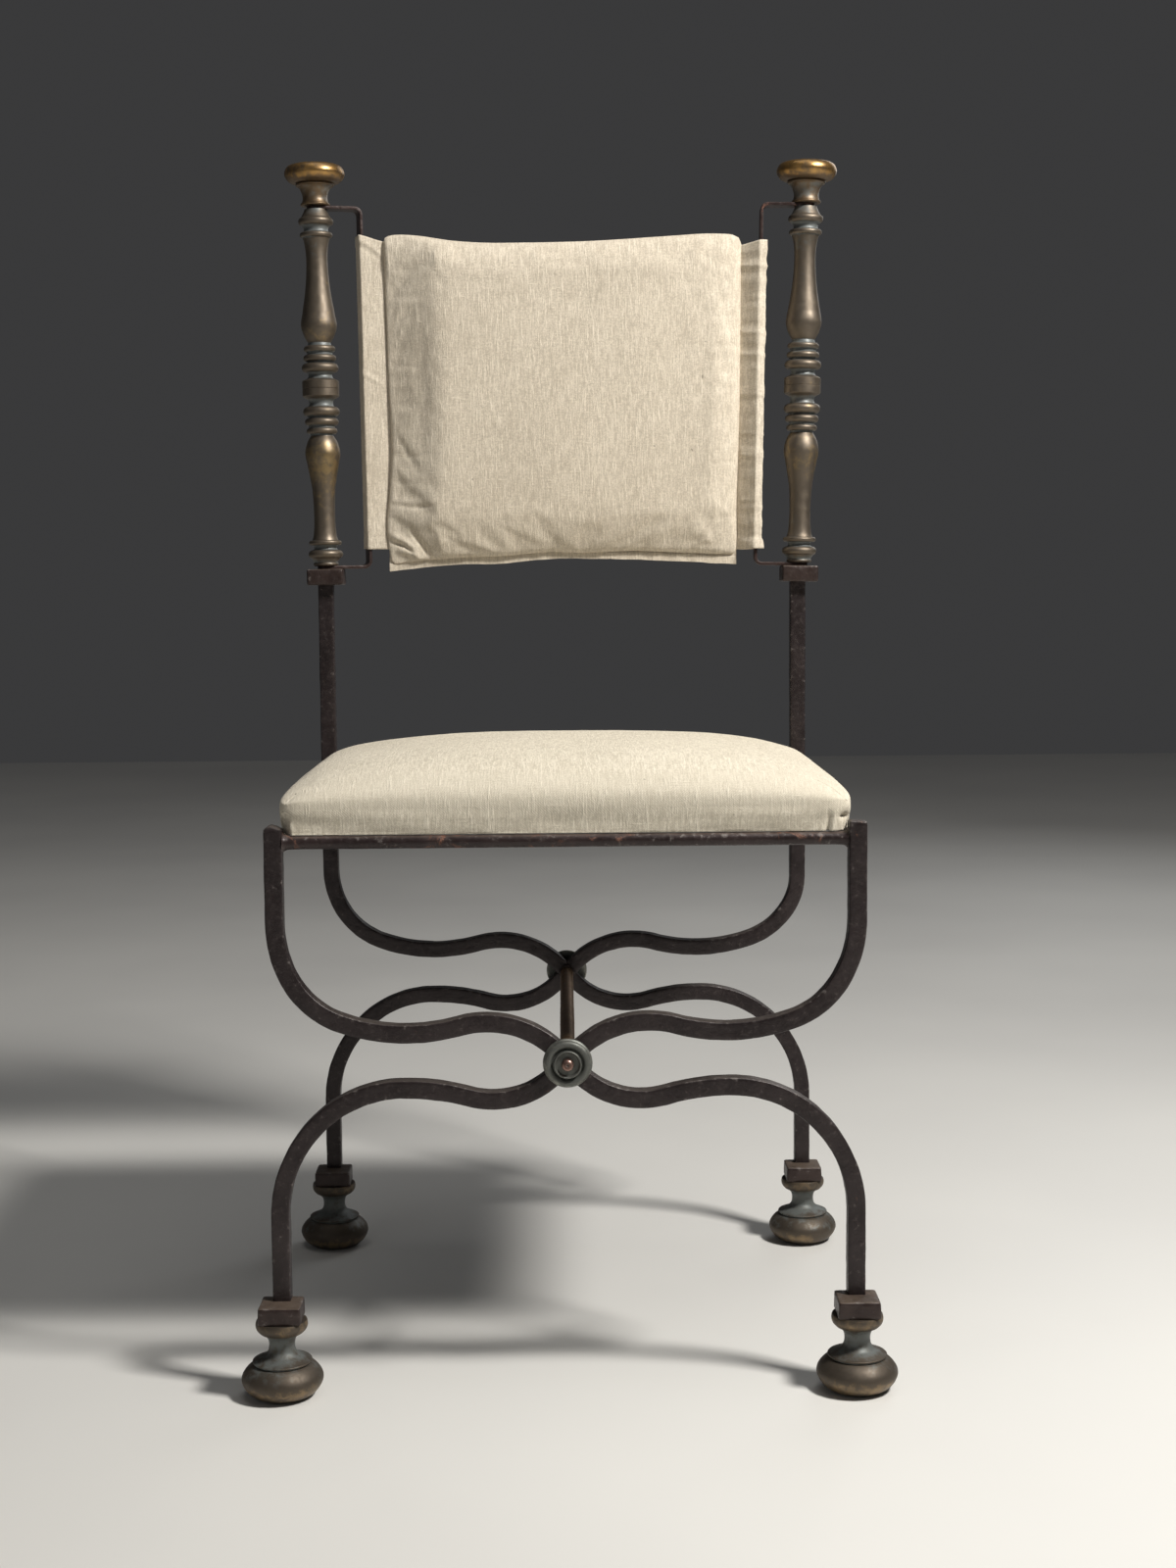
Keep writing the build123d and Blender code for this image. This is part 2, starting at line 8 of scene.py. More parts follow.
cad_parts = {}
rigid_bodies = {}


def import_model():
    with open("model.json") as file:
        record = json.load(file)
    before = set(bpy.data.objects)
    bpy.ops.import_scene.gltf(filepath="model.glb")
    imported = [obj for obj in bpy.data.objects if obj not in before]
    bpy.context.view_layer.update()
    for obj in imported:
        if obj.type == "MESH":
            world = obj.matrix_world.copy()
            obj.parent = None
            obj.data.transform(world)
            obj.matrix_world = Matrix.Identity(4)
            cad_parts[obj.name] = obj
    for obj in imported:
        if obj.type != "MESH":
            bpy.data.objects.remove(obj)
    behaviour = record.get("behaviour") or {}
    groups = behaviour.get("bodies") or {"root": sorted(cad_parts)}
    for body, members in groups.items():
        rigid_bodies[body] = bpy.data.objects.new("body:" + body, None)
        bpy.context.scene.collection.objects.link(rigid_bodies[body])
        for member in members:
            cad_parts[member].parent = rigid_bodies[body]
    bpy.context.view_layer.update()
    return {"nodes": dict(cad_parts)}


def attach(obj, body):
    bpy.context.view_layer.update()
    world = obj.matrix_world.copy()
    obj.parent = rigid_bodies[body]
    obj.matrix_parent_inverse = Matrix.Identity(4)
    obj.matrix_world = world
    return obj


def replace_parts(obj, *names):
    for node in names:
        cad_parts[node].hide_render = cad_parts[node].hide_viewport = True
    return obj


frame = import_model()
SCENE = bpy.context.scene

# Lengths are in millimetres until a mesh is written. The pieces are drawn
# about the cross frames' own middle, on the same drawing datum as the CAD
# pieces, and all their meshes move by PLACE at the end.
MM = 0.001
PLACE = (0.0, 0.0069, -0.011)

# ---------------------------------------------------------------- camera
YAW, PITCH, ROLL = 0.010855, 0.09171, 0.007704
cam_data = bpy.data.cameras.new("camera")
cam_data.sensor_fit = "AUTO"
cam_data.sensor_width = 36.0
cam_data.lens = 49.93
cam_data.clip_start = 0.05
cam_data.clip_end = 60.0
camera = bpy.data.objects.new("camera", cam_data)
SCENE.collection.objects.link(camera)
fwd = Vector((math.sin(YAW) * math.cos(PITCH), math.cos(YAW) * math.cos(PITCH), -math.sin(PITCH)))
right0 = Vector((math.cos(YAW), -math.sin(YAW), 0.0))
down0 = fwd.cross(right0)
right1 = math.cos(ROLL) * right0 + math.sin(ROLL) * down0
down1 = -math.sin(ROLL) * right0 + math.cos(ROLL) * down0
m = Matrix.Identity(4)
for i in range(3):
    m[i][0], m[i][1], m[i][2] = right1[i], -down1[i], -fwd[i]
m[0][3], m[1][3], m[2][3] = -0.0006, -1.8518 + PLACE[1], 0.6384 + PLACE[2]
camera.matrix_world = m
SCENE.camera = camera


# ---------------------------------------------------------------- noise
def vnoise(p, seed=0):
    """Smooth value noise in -1..1 at the points p."""
    p = np.asarray(p, float).reshape(-1, 3)
    i = np.floor(p).astype(np.int64)
    f = p - i
    u = f * f * f * (f * (f * 6 - 15) + 10)

    def h(dx, dy, dz):
        n = (
            (i[:, 0] + dx) * 374761393
            + (i[:, 1] + dy) * 668265263
            + (i[:, 2] + dz) * 2147483647
            + seed * 1442695041
        ) & 0xFFFFFFFF
        n = ((n ^ (n >> 13)) * 1274126177) & 0xFFFFFFFF
        n = n ^ (n >> 16)
        return (n & 0xFFFF) / 32767.5 - 1.0

    x0 = h(0, 0, 0) * (1 - u[:, 0]) + h(1, 0, 0) * u[:, 0]
    x1 = h(0, 1, 0) * (1 - u[:, 0]) + h(1, 1, 0) * u[:, 0]
    x2 = h(0, 0, 1) * (1 - u[:, 0]) + h(1, 0, 1) * u[:, 0]
    x3 = h(0, 1, 1) * (1 - u[:, 0]) + h(1, 1, 1) * u[:, 0]
    y0 = x0 * (1 - u[:, 1]) + x1 * u[:, 1]
    y1 = x2 * (1 - u[:, 1]) + x3 * u[:, 1]
    return y0 * (1 - u[:, 2]) + y1 * u[:, 2]


def noise1(s, seed=0):
    s = np.asarray(s, float)
    return vnoise(np.stack([s, s * 0 + 0.5, s * 0 + 0.5], -1), seed)


def smoothstep(x, a, b):
    t = np.clip((np.asarray(x, float) - a) / (b - a), 0, 1)
    return t * t * (3 - 2 * t)


# ---------------------------------------------------------------- meshes
def make_mesh(name, verts_mm, faces, material, body, sharp=None, attrs=None, merge=None, smooth=True):
    me = bpy.data.meshes.new(name)
    v = np.asarray(verts_mm, float) * MM
    me.from_pydata([tuple(x) for x in v.tolist()], [], [tuple(f) for f in faces])
    for key, values in (attrs or {}).items():
        a = me.attributes.new(key, "FLOAT", "POINT")
        a.data.foreach_set("value", np.asarray(values, np.float32))
    if merge:
        import bmesh

        bm = bmesh.new()
        bm.from_mesh(me)
        bmesh.ops.remove_doubles(bm, verts=bm.verts, dist=merge * MM)
        bmesh.ops.dissolve_degenerate(bm, edges=bm.edges, dist=1e-7)
        bmesh.ops.recalc_face_normals(bm, faces=bm.faces)
        bm.to_mesh(me)
        bm.free()
    me.validate()
    me.update()
    me.materials.append(material)
    if smooth:
        me.shade_smooth()
        if sharp:
            me.set_sharp_from_angle(angle=math.radians(sharp))
    ob = bpy.data.objects.new(name, me)
    SCENE.collection.objects.link(ob)
    if body:
        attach(ob, body)
    return ob


def tube_faces(n_rings, k, closed_path=False, start=0):
    faces = []
    last = n_rings if closed_path else n_rings - 1
    for i in range(last):
        a, b = start + i * k, start + ((i + 1) % n_rings) * k
        for j in range(k):
            j2 = (j + 1) % k
            faces.append((a + j, a + j2, b + j2, b + j))
    return faces


def rounded_rect(w, d, r, n_side, n_corner):
    """Section points anticlockwise, their outward normals and a corner flag."""
    pts, nor, flag = [], [], []
    hw, hd = w / 2, d / 2
    corners = [(hw - r, -hd + r, -90), (hw - r, hd - r, 0), (-hw + r, hd - r, 90), (-hw + r, -hd + r, 180)]
    for c in range(4):
        cx, cy, a0 = corners[c]
        for i in range(n_corner + 1):
            a = math.radians(a0 + 90 * i / n_corner)
            pts.append((cx + r * math.cos(a), cy + r * math.sin(a)))
            nor.append((math.cos(a), math.sin(a)))
            flag.append(1.0 - 0.35 * abs(2 * i / n_corner - 1))
        nx, ny, na0 = corners[(c + 1) % 4]
        a = math.radians(a0 + 90)
        p0 = (cx + r * math.cos(a), cy + r * math.sin(a))
        p1 = (nx + r * math.cos(math.radians(na0)), ny + r * math.sin(math.radians(na0)))
        for i in range(1, n_side):
            t = i / n_side
            pts.append((p0[0] + (p1[0] - p0[0]) * t, p0[1] + (p1[1] - p0[1]) * t))
            nor.append((math.cos(a), math.sin(a)))
            flag.append(0.0)
    return np.array(pts), np.array(nor), np.array(flag)


def cap(faces, verts, ring_start, k, flip):
    """Closes a ring with two smaller rings and a centre point."""
    ring = np.array(verts[ring_start:ring_start + k])
    c = ring.mean(0)
    prev = ring_start
    for s in (0.72, 0.4):
        start = len(verts)
        for p in ring:
            verts.append(c + (p - c) * s)
        for j in range(k):
            j2 = (j + 1) % k
            q = (prev + j, prev + j2, start + j2, start + j)
            faces.append(q[::-1] if flip else q)
        prev = start
    centre = len(verts)
    verts.append(c)
    for j in range(k):
        j2 = (j + 1) % k
        q = (prev + j, prev + j2, centre)
        faces.append(q[::-1] if flip else q)


# ---------------------------------------------------------------- node trees
def node(nt, kind, inputs=None, **props):
    n = nt.nodes.new(kind)
    for key, v in props.items():
        setattr(n, key, v)
    for key, v in (inputs or {}).items():
        s = n.inputs[key]
        if isinstance(v, bpy.types.NodeSocket):
            nt.links.new(v, s)
        else:
            s.default_value = v
    return n


def new_material(name):
    mat = bpy.data.materials.new(name)
    mat.use_nodes = True
    nt = mat.node_tree
    nt.nodes.clear()
    out = nt.nodes.new("ShaderNodeOutputMaterial")
    bsdf = nt.nodes.new("ShaderNodeBsdfPrincipled")
    nt.links.new(bsdf.outputs[0], out.inputs[0])
    return mat, nt, bsdf


def math_node(nt, op, a, b=None, c=None, clamp=False):
    n = nt.nodes.new("ShaderNodeMath")
    n.operation = op
    n.use_clamp = clamp
    for i, v in enumerate((a, b, c)):
        if v is None:
            continue
        if isinstance(v, bpy.types.NodeSocket):
            nt.links.new(v, n.inputs[i])
        else:
            n.inputs[i].default_value = v
    return n.outputs[0]


def mix_rgb(nt, fac, a, b, blend="MIX"):
    n = nt.nodes.new("ShaderNodeMix")
    n.data_type = "RGBA"
    n.blend_type = blend
    for i, v in ((0, fac), (6, a), (7, b)):
        if isinstance(v, bpy.types.NodeSocket):
            nt.links.new(v, n.inputs[i])
        else:
            n.inputs[i].default_value = v if i == 0 or len(v) == 4 else (*v, 1.0)
    return n.outputs[2]


def ramp(nt, x, lo, hi, to_lo=0.0, to_hi=1.0):
    n = node(
        nt,
        "ShaderNodeMapRange",
        {"Value": x, "From Min": lo, "From Max": hi, "To Min": to_lo, "To Max": to_hi},
        interpolation_type="SMOOTHSTEP",
    )
    return n.outputs[0]


def coords(nt):
    return nt.nodes.new("ShaderNodeTexCoord").outputs["Object"]


def scaled(nt, vec, s):
    return node(nt, "ShaderNodeVectorMath", {0: vec, 1: s}, operation="MULTIPLY").outputs[0]


def noise_tex(nt, vec, scale=1.0, detail=4.0, rough=0.55, distortion=0.0):
    n = node(
        nt,
        "ShaderNodeTexNoise",
        {"Vector": vec, "Scale": scale, "Detail": detail, "Roughness": rough, "Distortion": distortion},
    )
    return n.outputs["Fac"] if "Fac" in n.outputs else n.outputs[0]


def attribute(nt, name):
    n = nt.nodes.new("ShaderNodeAttribute")
    n.attribute_type = "GEOMETRY"
    n.attribute_name = name
    return n.outputs["Fac"]


def bump_chain(nt, bsdf, layers):
    normal = None
    for height, strength, distance in layers:
        ins = {"Height": height, "Strength": strength, "Distance": distance}
        if normal is not None:
            ins["Normal"] = normal
        normal = node(nt, "ShaderNodeBump", ins).outputs[0]
    nt.links.new(normal, bsdf.inputs["Normal"])


def iron_material(name, rust=0.5, scuff=0.5, tint=(1.0, 1.0, 1.0)):
    """Wrought iron under old wax: brown black, grey scuffs, rust in spots. Upward faces are painted lighter, a painted
    highlight standing in for the light from above.
    """
    mat, nt, bsdf = new_material(name)
    co = coords(nt)
    blotch = noise_tex(nt, co, 38.0, 5.0, 0.6, 0.4)
    mottle = noise_tex(nt, co, 190.0, 5.0, 0.65, 0.2)
    fine = noise_tex(nt, co, 900.0, 3.0, 0.6)
    edge = attribute(nt, "edge")
    dark = (0.0150 * tint[0], 0.0095 * tint[1], 0.0098 * tint[2])
    mid = (0.0300 * tint[0], 0.0215 * tint[1], 0.0215 * tint[2])
    col = mix_rgb(nt, ramp(nt, blotch, 0.30, 0.72), dark, mid)
    col = mix_rgb(nt, ramp(nt, mottle, 0.50, 0.76, 0.0, 0.45), col, (0.085, 0.066, 0.062))
    # upward faces are painted lighter below: painted top light, a painted highlight where light falls from above
    up = node(nt, "ShaderNodeSeparateXYZ", {0: nt.nodes.new("ShaderNodeNewGeometry").outputs["Normal"]}).outputs[2]
    painted_top_light = ramp(nt, up, 0.55, 0.97, 0.0, 1.0)
    up = ramp(nt, up, 0.15, 0.9, 0.0, 0.06)
    # grey scuffs from the mottle and the worn edges, raised on upward faces: partly wear, partly painted top light
    scuff_and_top_light_mask = math_node(nt, "ADD", math_node(nt, "ADD", mottle, up), math_node(nt, "MULTIPLY", edge, 0.12))
    scuff_and_top_light_mask = ramp(nt, scuff_and_top_light_mask, 0.72 - 0.08 * scuff, 0.86 - 0.08 * scuff, 0.0, 0.62)
    # painted top light: upward faces get a lighter grey-brown, a painted highlight
    col = mix_rgb(nt, math_node(nt, "MULTIPLY", painted_top_light, ramp(nt, blotch, 0.25, 0.65, 0.35, 0.80)), col, (0.105 * tint[0], 0.088 * tint[1], 0.078 * tint[2]))
    col = mix_rgb(nt, scuff_and_top_light_mask, col, (0.200, 0.180, 0.168))
    streak = noise_tex(nt, scaled(nt, co, (1.0, 1.0, 1.0)), 420.0, 3.0, 0.7, 0.6)
    col = mix_rgb(nt, ramp(nt, streak, 0.60, 0.78, 0.0, 0.40), col, (0.110, 0.098, 0.096))
    rust_n = noise_tex(nt, scaled(nt, co, (1.0, 1.0, 0.8)), 62.0, 6.0, 0.68, 0.8)
    rust_mask = ramp(nt, math_node(nt, "ADD", rust_n, math_node(nt, "MULTIPLY", attribute(nt, "rust"), 0.16)), 0.76 - 0.10 * rust, 0.84 - 0.08 * rust, 0.0, 0.80)
    rust_col = mix_rgb(nt, ramp(nt, fine, 0.35, 0.65), (0.075, 0.030, 0.018), (0.230, 0.100, 0.060))
    col = mix_rgb(nt, rust_mask, col, rust_col)
    nt.links.new(col, bsdf.inputs["Base Color"])
    metal = math_node(nt, "SUBTRACT", 0.30, math_node(nt, "MULTIPLY", rust_mask, 0.3), clamp=True)
    nt.links.new(metal, bsdf.inputs["Metallic"])
    rough = math_node(nt, "ADD", ramp(nt, mottle, 0.3, 0.7, 0.36, 0.50), math_node(nt, "MULTIPLY", rust_mask, 0.25), clamp=True)
    nt.links.new(rough, bsdf.inputs["Roughness"])
    pits = node(nt, "ShaderNodeTexVoronoi", {"Vector": co, "Scale": 260.0}, feature="SMOOTH_F1").outputs["Distance"]
    bump_chain(
        nt,
        bsdf,
        [
            (blotch, 0.40, 0.0014),
            (ramp(nt, pits, 0.0, 0.5), 0.22, 0.0005),
            (mottle, 0.45, 0.0005),
            (fine, 0.22, 0.00014),
        ],
    )
    return mat


def brass_material(name, gold, brown, patina, gold_amount=0.5, metal=0.9, rough=(0.30, 0.62)):
    """Aged turned brass. The wear attribute is 1 on the high turnings that
    hands polish and 0 in the coves, turn is the length along the profile."""
    mat, nt, bsdf = new_material(name)
    co = coords(nt)
    wear = attribute(nt, "wear")
    turn = attribute(nt, "turn")
    big = noise_tex(nt, co, 30.0, 4.0, 0.55, 0.3)
    mottle = noise_tex(nt, co, 150.0, 5.0, 0.62, 0.3)
    fine = noise_tex(nt, co, 800.0, 3.0, 0.6)
    ring_vec = node(nt, "ShaderNodeCombineXYZ", {0: math_node(nt, "MULTIPLY", turn, 1.0)}).outputs[0]
    rings = noise_tex(nt, ring_vec, 1.7, 3.0, 0.7)
    w = math_node(nt, "ADD", wear, math_node(nt, "MULTIPLY", math_node(nt, "SUBTRACT", mottle, 0.5), 0.9))
    w = math_node(nt, "ADD", w, math_node(nt, "MULTIPLY", math_node(nt, "SUBTRACT", big, 0.5), 0.8))
    gold_mask = ramp(nt, w, 0.86 - 0.5 * gold_amount, 1.20 - 0.45 * gold_amount)
    patina_mask = ramp(nt, w, 0.38, 0.02)
    col = mix_rgb(nt, gold_mask, brown, gold)
    col = mix_rgb(nt, math_node(nt, "MULTIPLY", patina_mask, 0.85), col, patina)
    col = mix_rgb(nt, ramp(nt, fine, 0.60, 0.78, 0.0, 0.45), col, tuple(0.45 * c for c in brown))
    col = mix_rgb(nt, ramp(nt, rings, 0.55, 0.80, 0.0, 0.30), col, tuple(0.6 * c for c in brown))
    nt.links.new(col, bsdf.inputs["Base Color"])
    nt.links.new(math_node(nt, "SUBTRACT", metal, math_node(nt, "MULTIPLY", patina_mask, metal * 0.62), clamp=True), bsdf.inputs["Metallic"])
    r = math_node(nt, "SUBTRACT", rough[1], math_node(nt, "MULTIPLY", gold_mask, rough[1] - rough[0]))
    r = math_node(nt, "ADD", r, ramp(nt, mottle, 0.3, 0.75, -0.06, 0.10), clamp=True)
    nt.links.new(r, bsdf.inputs["Roughness"])
    bump_chain(
        nt,
        bsdf,
        [(rings, 0.30, 0.00025), (mottle, 0.25, 0.0004), (fine, 0.2, 0.00012)],
    )
    return mat


def linen_material(name, light, dark, pitch=0.00105, slub=1.0, hatch=None, sheen=0.12, contrast=1.0):
    """Plain-weave linen. Warp runs up the front and back over the seat, weft
    runs along X. hatch is the height range where the weave reads as fine
    slanting lines."""
    mat, nt, bsdf = new_material(name)
    co = coords(nt)
    xyz = node(nt, "ShaderNodeSeparateXYZ", {0: co})
    x, y, z = xyz.outputs[0], xyz.outputs[1], xyz.outputs[2]
    run = math_node(nt, "ADD", y, z)

    def centred(vec, scale, detail, rough, gain):
        n = noise_tex(nt, scaled(nt, co, vec), scale, detail, rough)
        return math_node(nt, "MULTIPLY", math_node(nt, "SUBTRACT", n, 0.5), gain)

    warp = noise_tex(nt, scaled(nt, co, (860.0, 95.0, 95.0)), 1.0, 3.0, 0.6)
    weft = noise_tex(nt, scaled(nt, co, (95.0, 860.0, 860.0)), 1.0, 3.0, 0.6)
    slub_v = noise_tex(nt, scaled(nt, co, (400.0, 70.0, 70.0)), 1.0, 2.0, 0.5)
    slub_h = noise_tex(nt, scaled(nt, co, (70.0, 400.0, 400.0)), 1.0, 2.0, 0.5)
    speck = noise_tex(nt, co, 620.0, 2.0, 0.6)
    k = 2 * math.pi / pitch
    px = math_node(nt, "ADD", math_node(nt, "MULTIPLY", x, k), math_node(nt, "MULTIPLY", warp, 3.2))
    pyz = math_node(nt, "ADD", math_node(nt, "MULTIPLY", run, k), math_node(nt, "MULTIPLY", weft, 3.2))
    over = math_node(nt, "MULTIPLY", math_node(nt, "SINE", px), math_node(nt, "SINE", pyz))
    threads = math_node(nt, "ADD", over, math_node(nt, "MULTIPLY", math_node(nt, "ADD", math_node(nt, "COSINE", math_node(nt, "MULTIPLY", px, 2.0)), math_node(nt, "COSINE", math_node(nt, "MULTIPLY", pyz, 2.0))), -0.22))
    tone = 0.5
    for part in (
        math_node(nt, "MULTIPLY", math_node(nt, "SUBTRACT", warp, 0.5), 1.00 * contrast),
        math_node(nt, "MULTIPLY", math_node(nt, "SUBTRACT", weft, 0.5), 0.16 * contrast),
        math_node(nt, "MULTIPLY", math_node(nt, "SUBTRACT", slub_v, 0.5), 0.70 * contrast),
        math_node(nt, "MULTIPLY", math_node(nt, "SUBTRACT", slub_h, 0.5), 0.10 * contrast),
        math_node(nt, "MULTIPLY", math_node(nt, "SUBTRACT", speck, 0.5), 1.05 * contrast),
        centred((1.0, 1.0, 1.0), 120.0, 3.0, 0.6, 0.30 * contrast),
        centred((1.0, 1.0, 1.0), 11.0, 3.0, 0.55, 0.32),
        math_node(nt, "MULTIPLY", threads, 0.085),
    ):
        tone = math_node(nt, "ADD", part, tone)
    if hatch:
        phase = math_node(nt, "MULTIPLY", math_node(nt, "ADD", x, math_node(nt, "MULTIPLY", run, 1.2)), 2 * math.pi / 0.0021)
        phase = math_node(nt, "ADD", phase, math_node(nt, "MULTIPLY", noise_tex(nt, co, 260.0, 2.0, 0.5), 5.0))
        band = math_node(nt, "MULTIPLY", ramp(nt, z, hatch[0], hatch[1]), ramp(nt, z, hatch[3], hatch[2]))
        tone = math_node(nt, "ADD", tone, math_node(nt, "MULTIPLY", math_node(nt, "MULTIPLY", math_node(nt, "SINE", phase), 0.42), band))
    col = mix_rgb(nt, ramp(nt, tone, 0.16, 0.84), dark, light)
    bright = math_node(nt, "ADD", ramp(nt, slub_v, 0.72, 0.86, 0.0, 0.50 * slub), ramp(nt, slub_h, 0.765, 0.86, 0.0, 0.50 * slub), clamp=True)
    col = mix_rgb(nt, bright, col, tuple(min(0.90, 1.12 * c) for c in light))
    nep = ramp(nt, noise_tex(nt, co, 210.0, 1.0, 0.5), 0.775, 0.83, 0.0, 0.75)
    col = mix_rgb(nt, nep, col, tuple(0.42 * c for c in dark))
    nt.links.new(col, bsdf.inputs["Base Color"])
    bsdf.inputs["Roughness"].default_value = 0.93
    bsdf.inputs["Specular IOR Level"].default_value = 0.18
    bsdf.inputs["Sheen Weight"].default_value = sheen
    bsdf.inputs["Sheen Roughness"].default_value = 0.45
    bsdf.inputs["Sheen Tint"].default_value = (1.0, 0.97, 0.92, 1.0)
    slubs = math_node(nt, "MAXIMUM", slub_v, math_node(nt, "SUBTRACT", slub_h, 0.08))
    bump_chain(
        nt,
        bsdf,
        [
            (math_node(nt, "ADD", warp, math_node(nt, "MULTIPLY", weft, 0.45)), 0.60, 0.00048),
            (ramp(nt, slubs, 0.50, 0.85), 0.55, 0.00055),
            (threads, 0.5, 0.00022),
        ],
    )
    return mat


def board_material(name):
    mat, nt, bsdf = new_material(name)
    co = coords(nt)
    grain = noise_tex(nt, scaled(nt, co, (6.0, 160.0, 60.0)), 1.0, 5.0, 0.6, 0.8)
    pores = noise_tex(nt, scaled(nt, co, (40.0, 900.0, 300.0)), 1.0, 2.0, 0.5)
    col = mix_rgb(nt, ramp(nt, grain, 0.3, 0.7), (0.38, 0.24, 0.13), (0.58, 0.41, 0.25))
    col = mix_rgb(nt, ramp(nt, pores, 0.6, 0.75, 0.0, 0.6), col, (0.20, 0.12, 0.06))
    nt.links.new(col, bsdf.inputs["Base Color"])
    nt.links.new(ramp(nt, grain, 0.2, 0.8, 0.55, 0.75), bsdf.inputs["Roughness"])
    bump_chain(nt, bsdf, [(grain, 0.3, 0.0005), (pores, 0.4, 0.0003)])
    return mat


IRON = iron_material("iron_forged", rust=0.35, scuff=1.15)
IRON_RAIL = iron_material("iron_rail", rust=0.95, scuff=1.7, tint=(1.25, 1.1, 1.05))
IRON_STRAP = iron_material("iron_strap", rust=0.75, scuff=0.25, tint=(1.5, 1.2, 1.05))
IRON_BLOCK = iron_material("iron_block", rust=0.25, scuff=1.1, tint=(1.5, 1.35, 1.15))
BRASS = brass_material("brass_turned", (0.330, 0.240, 0.125), (0.160, 0.132, 0.102), (0.140, 0.158, 0.160), 0.45, rough=(0.32, 0.50))
BRASS_FINIAL = brass_material("brass_finial", (0.440, 0.255, 0.085), (0.165, 0.115, 0.070), (0.150, 0.155, 0.145), 0.75, rough=(0.24, 0.46))
BRASS_FOOT = brass_material("brass_foot", (0.250, 0.180, 0.105), (0.098, 0.080, 0.062), (0.135, 0.150, 0.145), 0.55, metal=0.75, rough=(0.34, 0.54))
BRASS_BOSS = brass_material("brass_boss", (0.262, 0.262, 0.232), (0.128, 0.132, 0.120), (0.078, 0.086, 0.080), 0.42, metal=0.7, rough=(0.32, 0.54))
BRASS_BROWN = brass_material("brass_brown", (0.34, 0.21, 0.10), (0.190, 0.112, 0.058), (0.120, 0.085, 0.055), 0.6, metal=0.85, rough=(0.30, 0.50))
COPPER = brass_material("copper_dome", (0.34, 0.215, 0.18), (0.170, 0.105, 0.085), (0.130, 0.105, 0.095), 0.55, metal=0.9, rough=(0.30, 0.52))
LINEN_BACK = linen_material("linen_back", (0.760, 0.680, 0.555), (0.545, 0.475, 0.375))
LINEN_SEAT = linen_material("linen_seat", (0.790, 0.728, 0.600), (0.570, 0.512, 0.405), pitch=0.00115, hatch=(0.449, 0.456, 0.479, 0.487))
THREAD = linen_material("linen_thread", (0.78, 0.71, 0.60), (0.58, 0.51, 0.41), pitch=0.0005, slub=0.3)
CAMBRIC = linen_material("dust_cloth_weave", (0.060, 0.056, 0.050), (0.024, 0.022, 0.020), pitch=0.0007, slub=0.5)
BOARD = board_material("seat_board_wood")


# ---------------------------------------------------------------- iron bars
BAR, HALF = 14.0, 7.0
FRAME_Y, LEG_X, FRONT_TOP_X = 194.7, 224.0, 224.0
POST_X, AXIS_X, SPLAY = {-1: 222.0, 1: 219.3}, {-1: 221.6, 1: 220.8}, {-1: 0.68, 1: 1.08}
CROSS_Z, CROSS_ANGLE = 271.0, 48.0
LEG_TOP_Z, BLOCK_TOP_Z = 457.0, 654.0
FLOOR_Z, ANKLE_Z0, ANKLE_Z1, FOOT_OFFSET = 11.0, 71.0, 84.6, 9.7


def half_chain(a0, s0, r1, th, r2, ph1, r3, ph2, x_end, length_end, step=2.0):
    """Points (x, z, angle) of half a bar's centreline, outward from the
    crossing: the same tangent lines and arcs as the CAD bars."""
    pts = []
    x = y = 0.0
    a = math.radians(a0)

    def line(s):
        nonlocal x, y
        n = max(1, int(math.ceil(s / step)))
        for i in range(n):
            pts.append((x + s * i / n * math.cos(a), y + s * i / n * math.sin(a), a))
        x += s * math.cos(a)
        y += s * math.sin(a)

    def arc(r, da):
        nonlocal x, y, a
        s = 1 if da > 0 else -1
        cx, cy = x - s * r * math.sin(a), y + s * r * math.cos(a)
        n = max(2, int(math.ceil(abs(da) * r / step)))
        for i in range(n):
            b = a + da * i / n
            pts.append((cx + s * r * math.sin(b), cy - s * r * math.cos(b), b))
        a += da
        x, y = cx + s * r * math.sin(a), cy - s * r * math.cos(a)

    line(s0)
    arc(r1, -math.radians(a0 + th))
    arc(r2, math.radians(th + ph1))
    arc(r3, math.radians(ph2 - ph1))
    r4 = (x_end - x) / (1 - math.sin(math.radians(ph2)))
    arc(r4, math.radians(90 - ph2))
    line(length_end - y)
    pts.append((x, y, a))
    return np.array(pts)


UPPER_FRONT = half_chain(CROSS_ANGLE, 6.8, 78.5, 15.2, 153.1, 19.3, 70.2, 60.4, FRONT_TOP_X, LEG_TOP_Z - CROSS_Z)
UPPER_REAR = {
    s: half_chain(CROSS_ANGLE, 6.8, 78.5, 15.2, 153.1, 19.3, 70.2, 60.4, POST_X[s], 645.0 - CROSS_Z) for s in (-1, 1)
}
LOWER = half_chain(CROSS_ANGLE, 9.5, 68.8, 15.9, 179.3, 1.0, 94.9, 41.9, LEG_X, CROSS_Z - ANKLE_Z1 + 0.3)
SECTION, SECTION_N, SECTION_F = rounded_rect(BAR, BAR, 1.15, 6, 3)


def forged(p, s, seed, amp=1.0):
    """How far the hammered skin stands off the nominal section."""
    return amp * (
        0.19 * vnoise(p / 15.0, seed)
        + 0.13 * vnoise(p / 6.5, seed + 1)
        + 0.05 * vnoise(p / 2.8, seed + 2)
        + 0.16 * noise1(s / 55.0, seed + 3)
    )


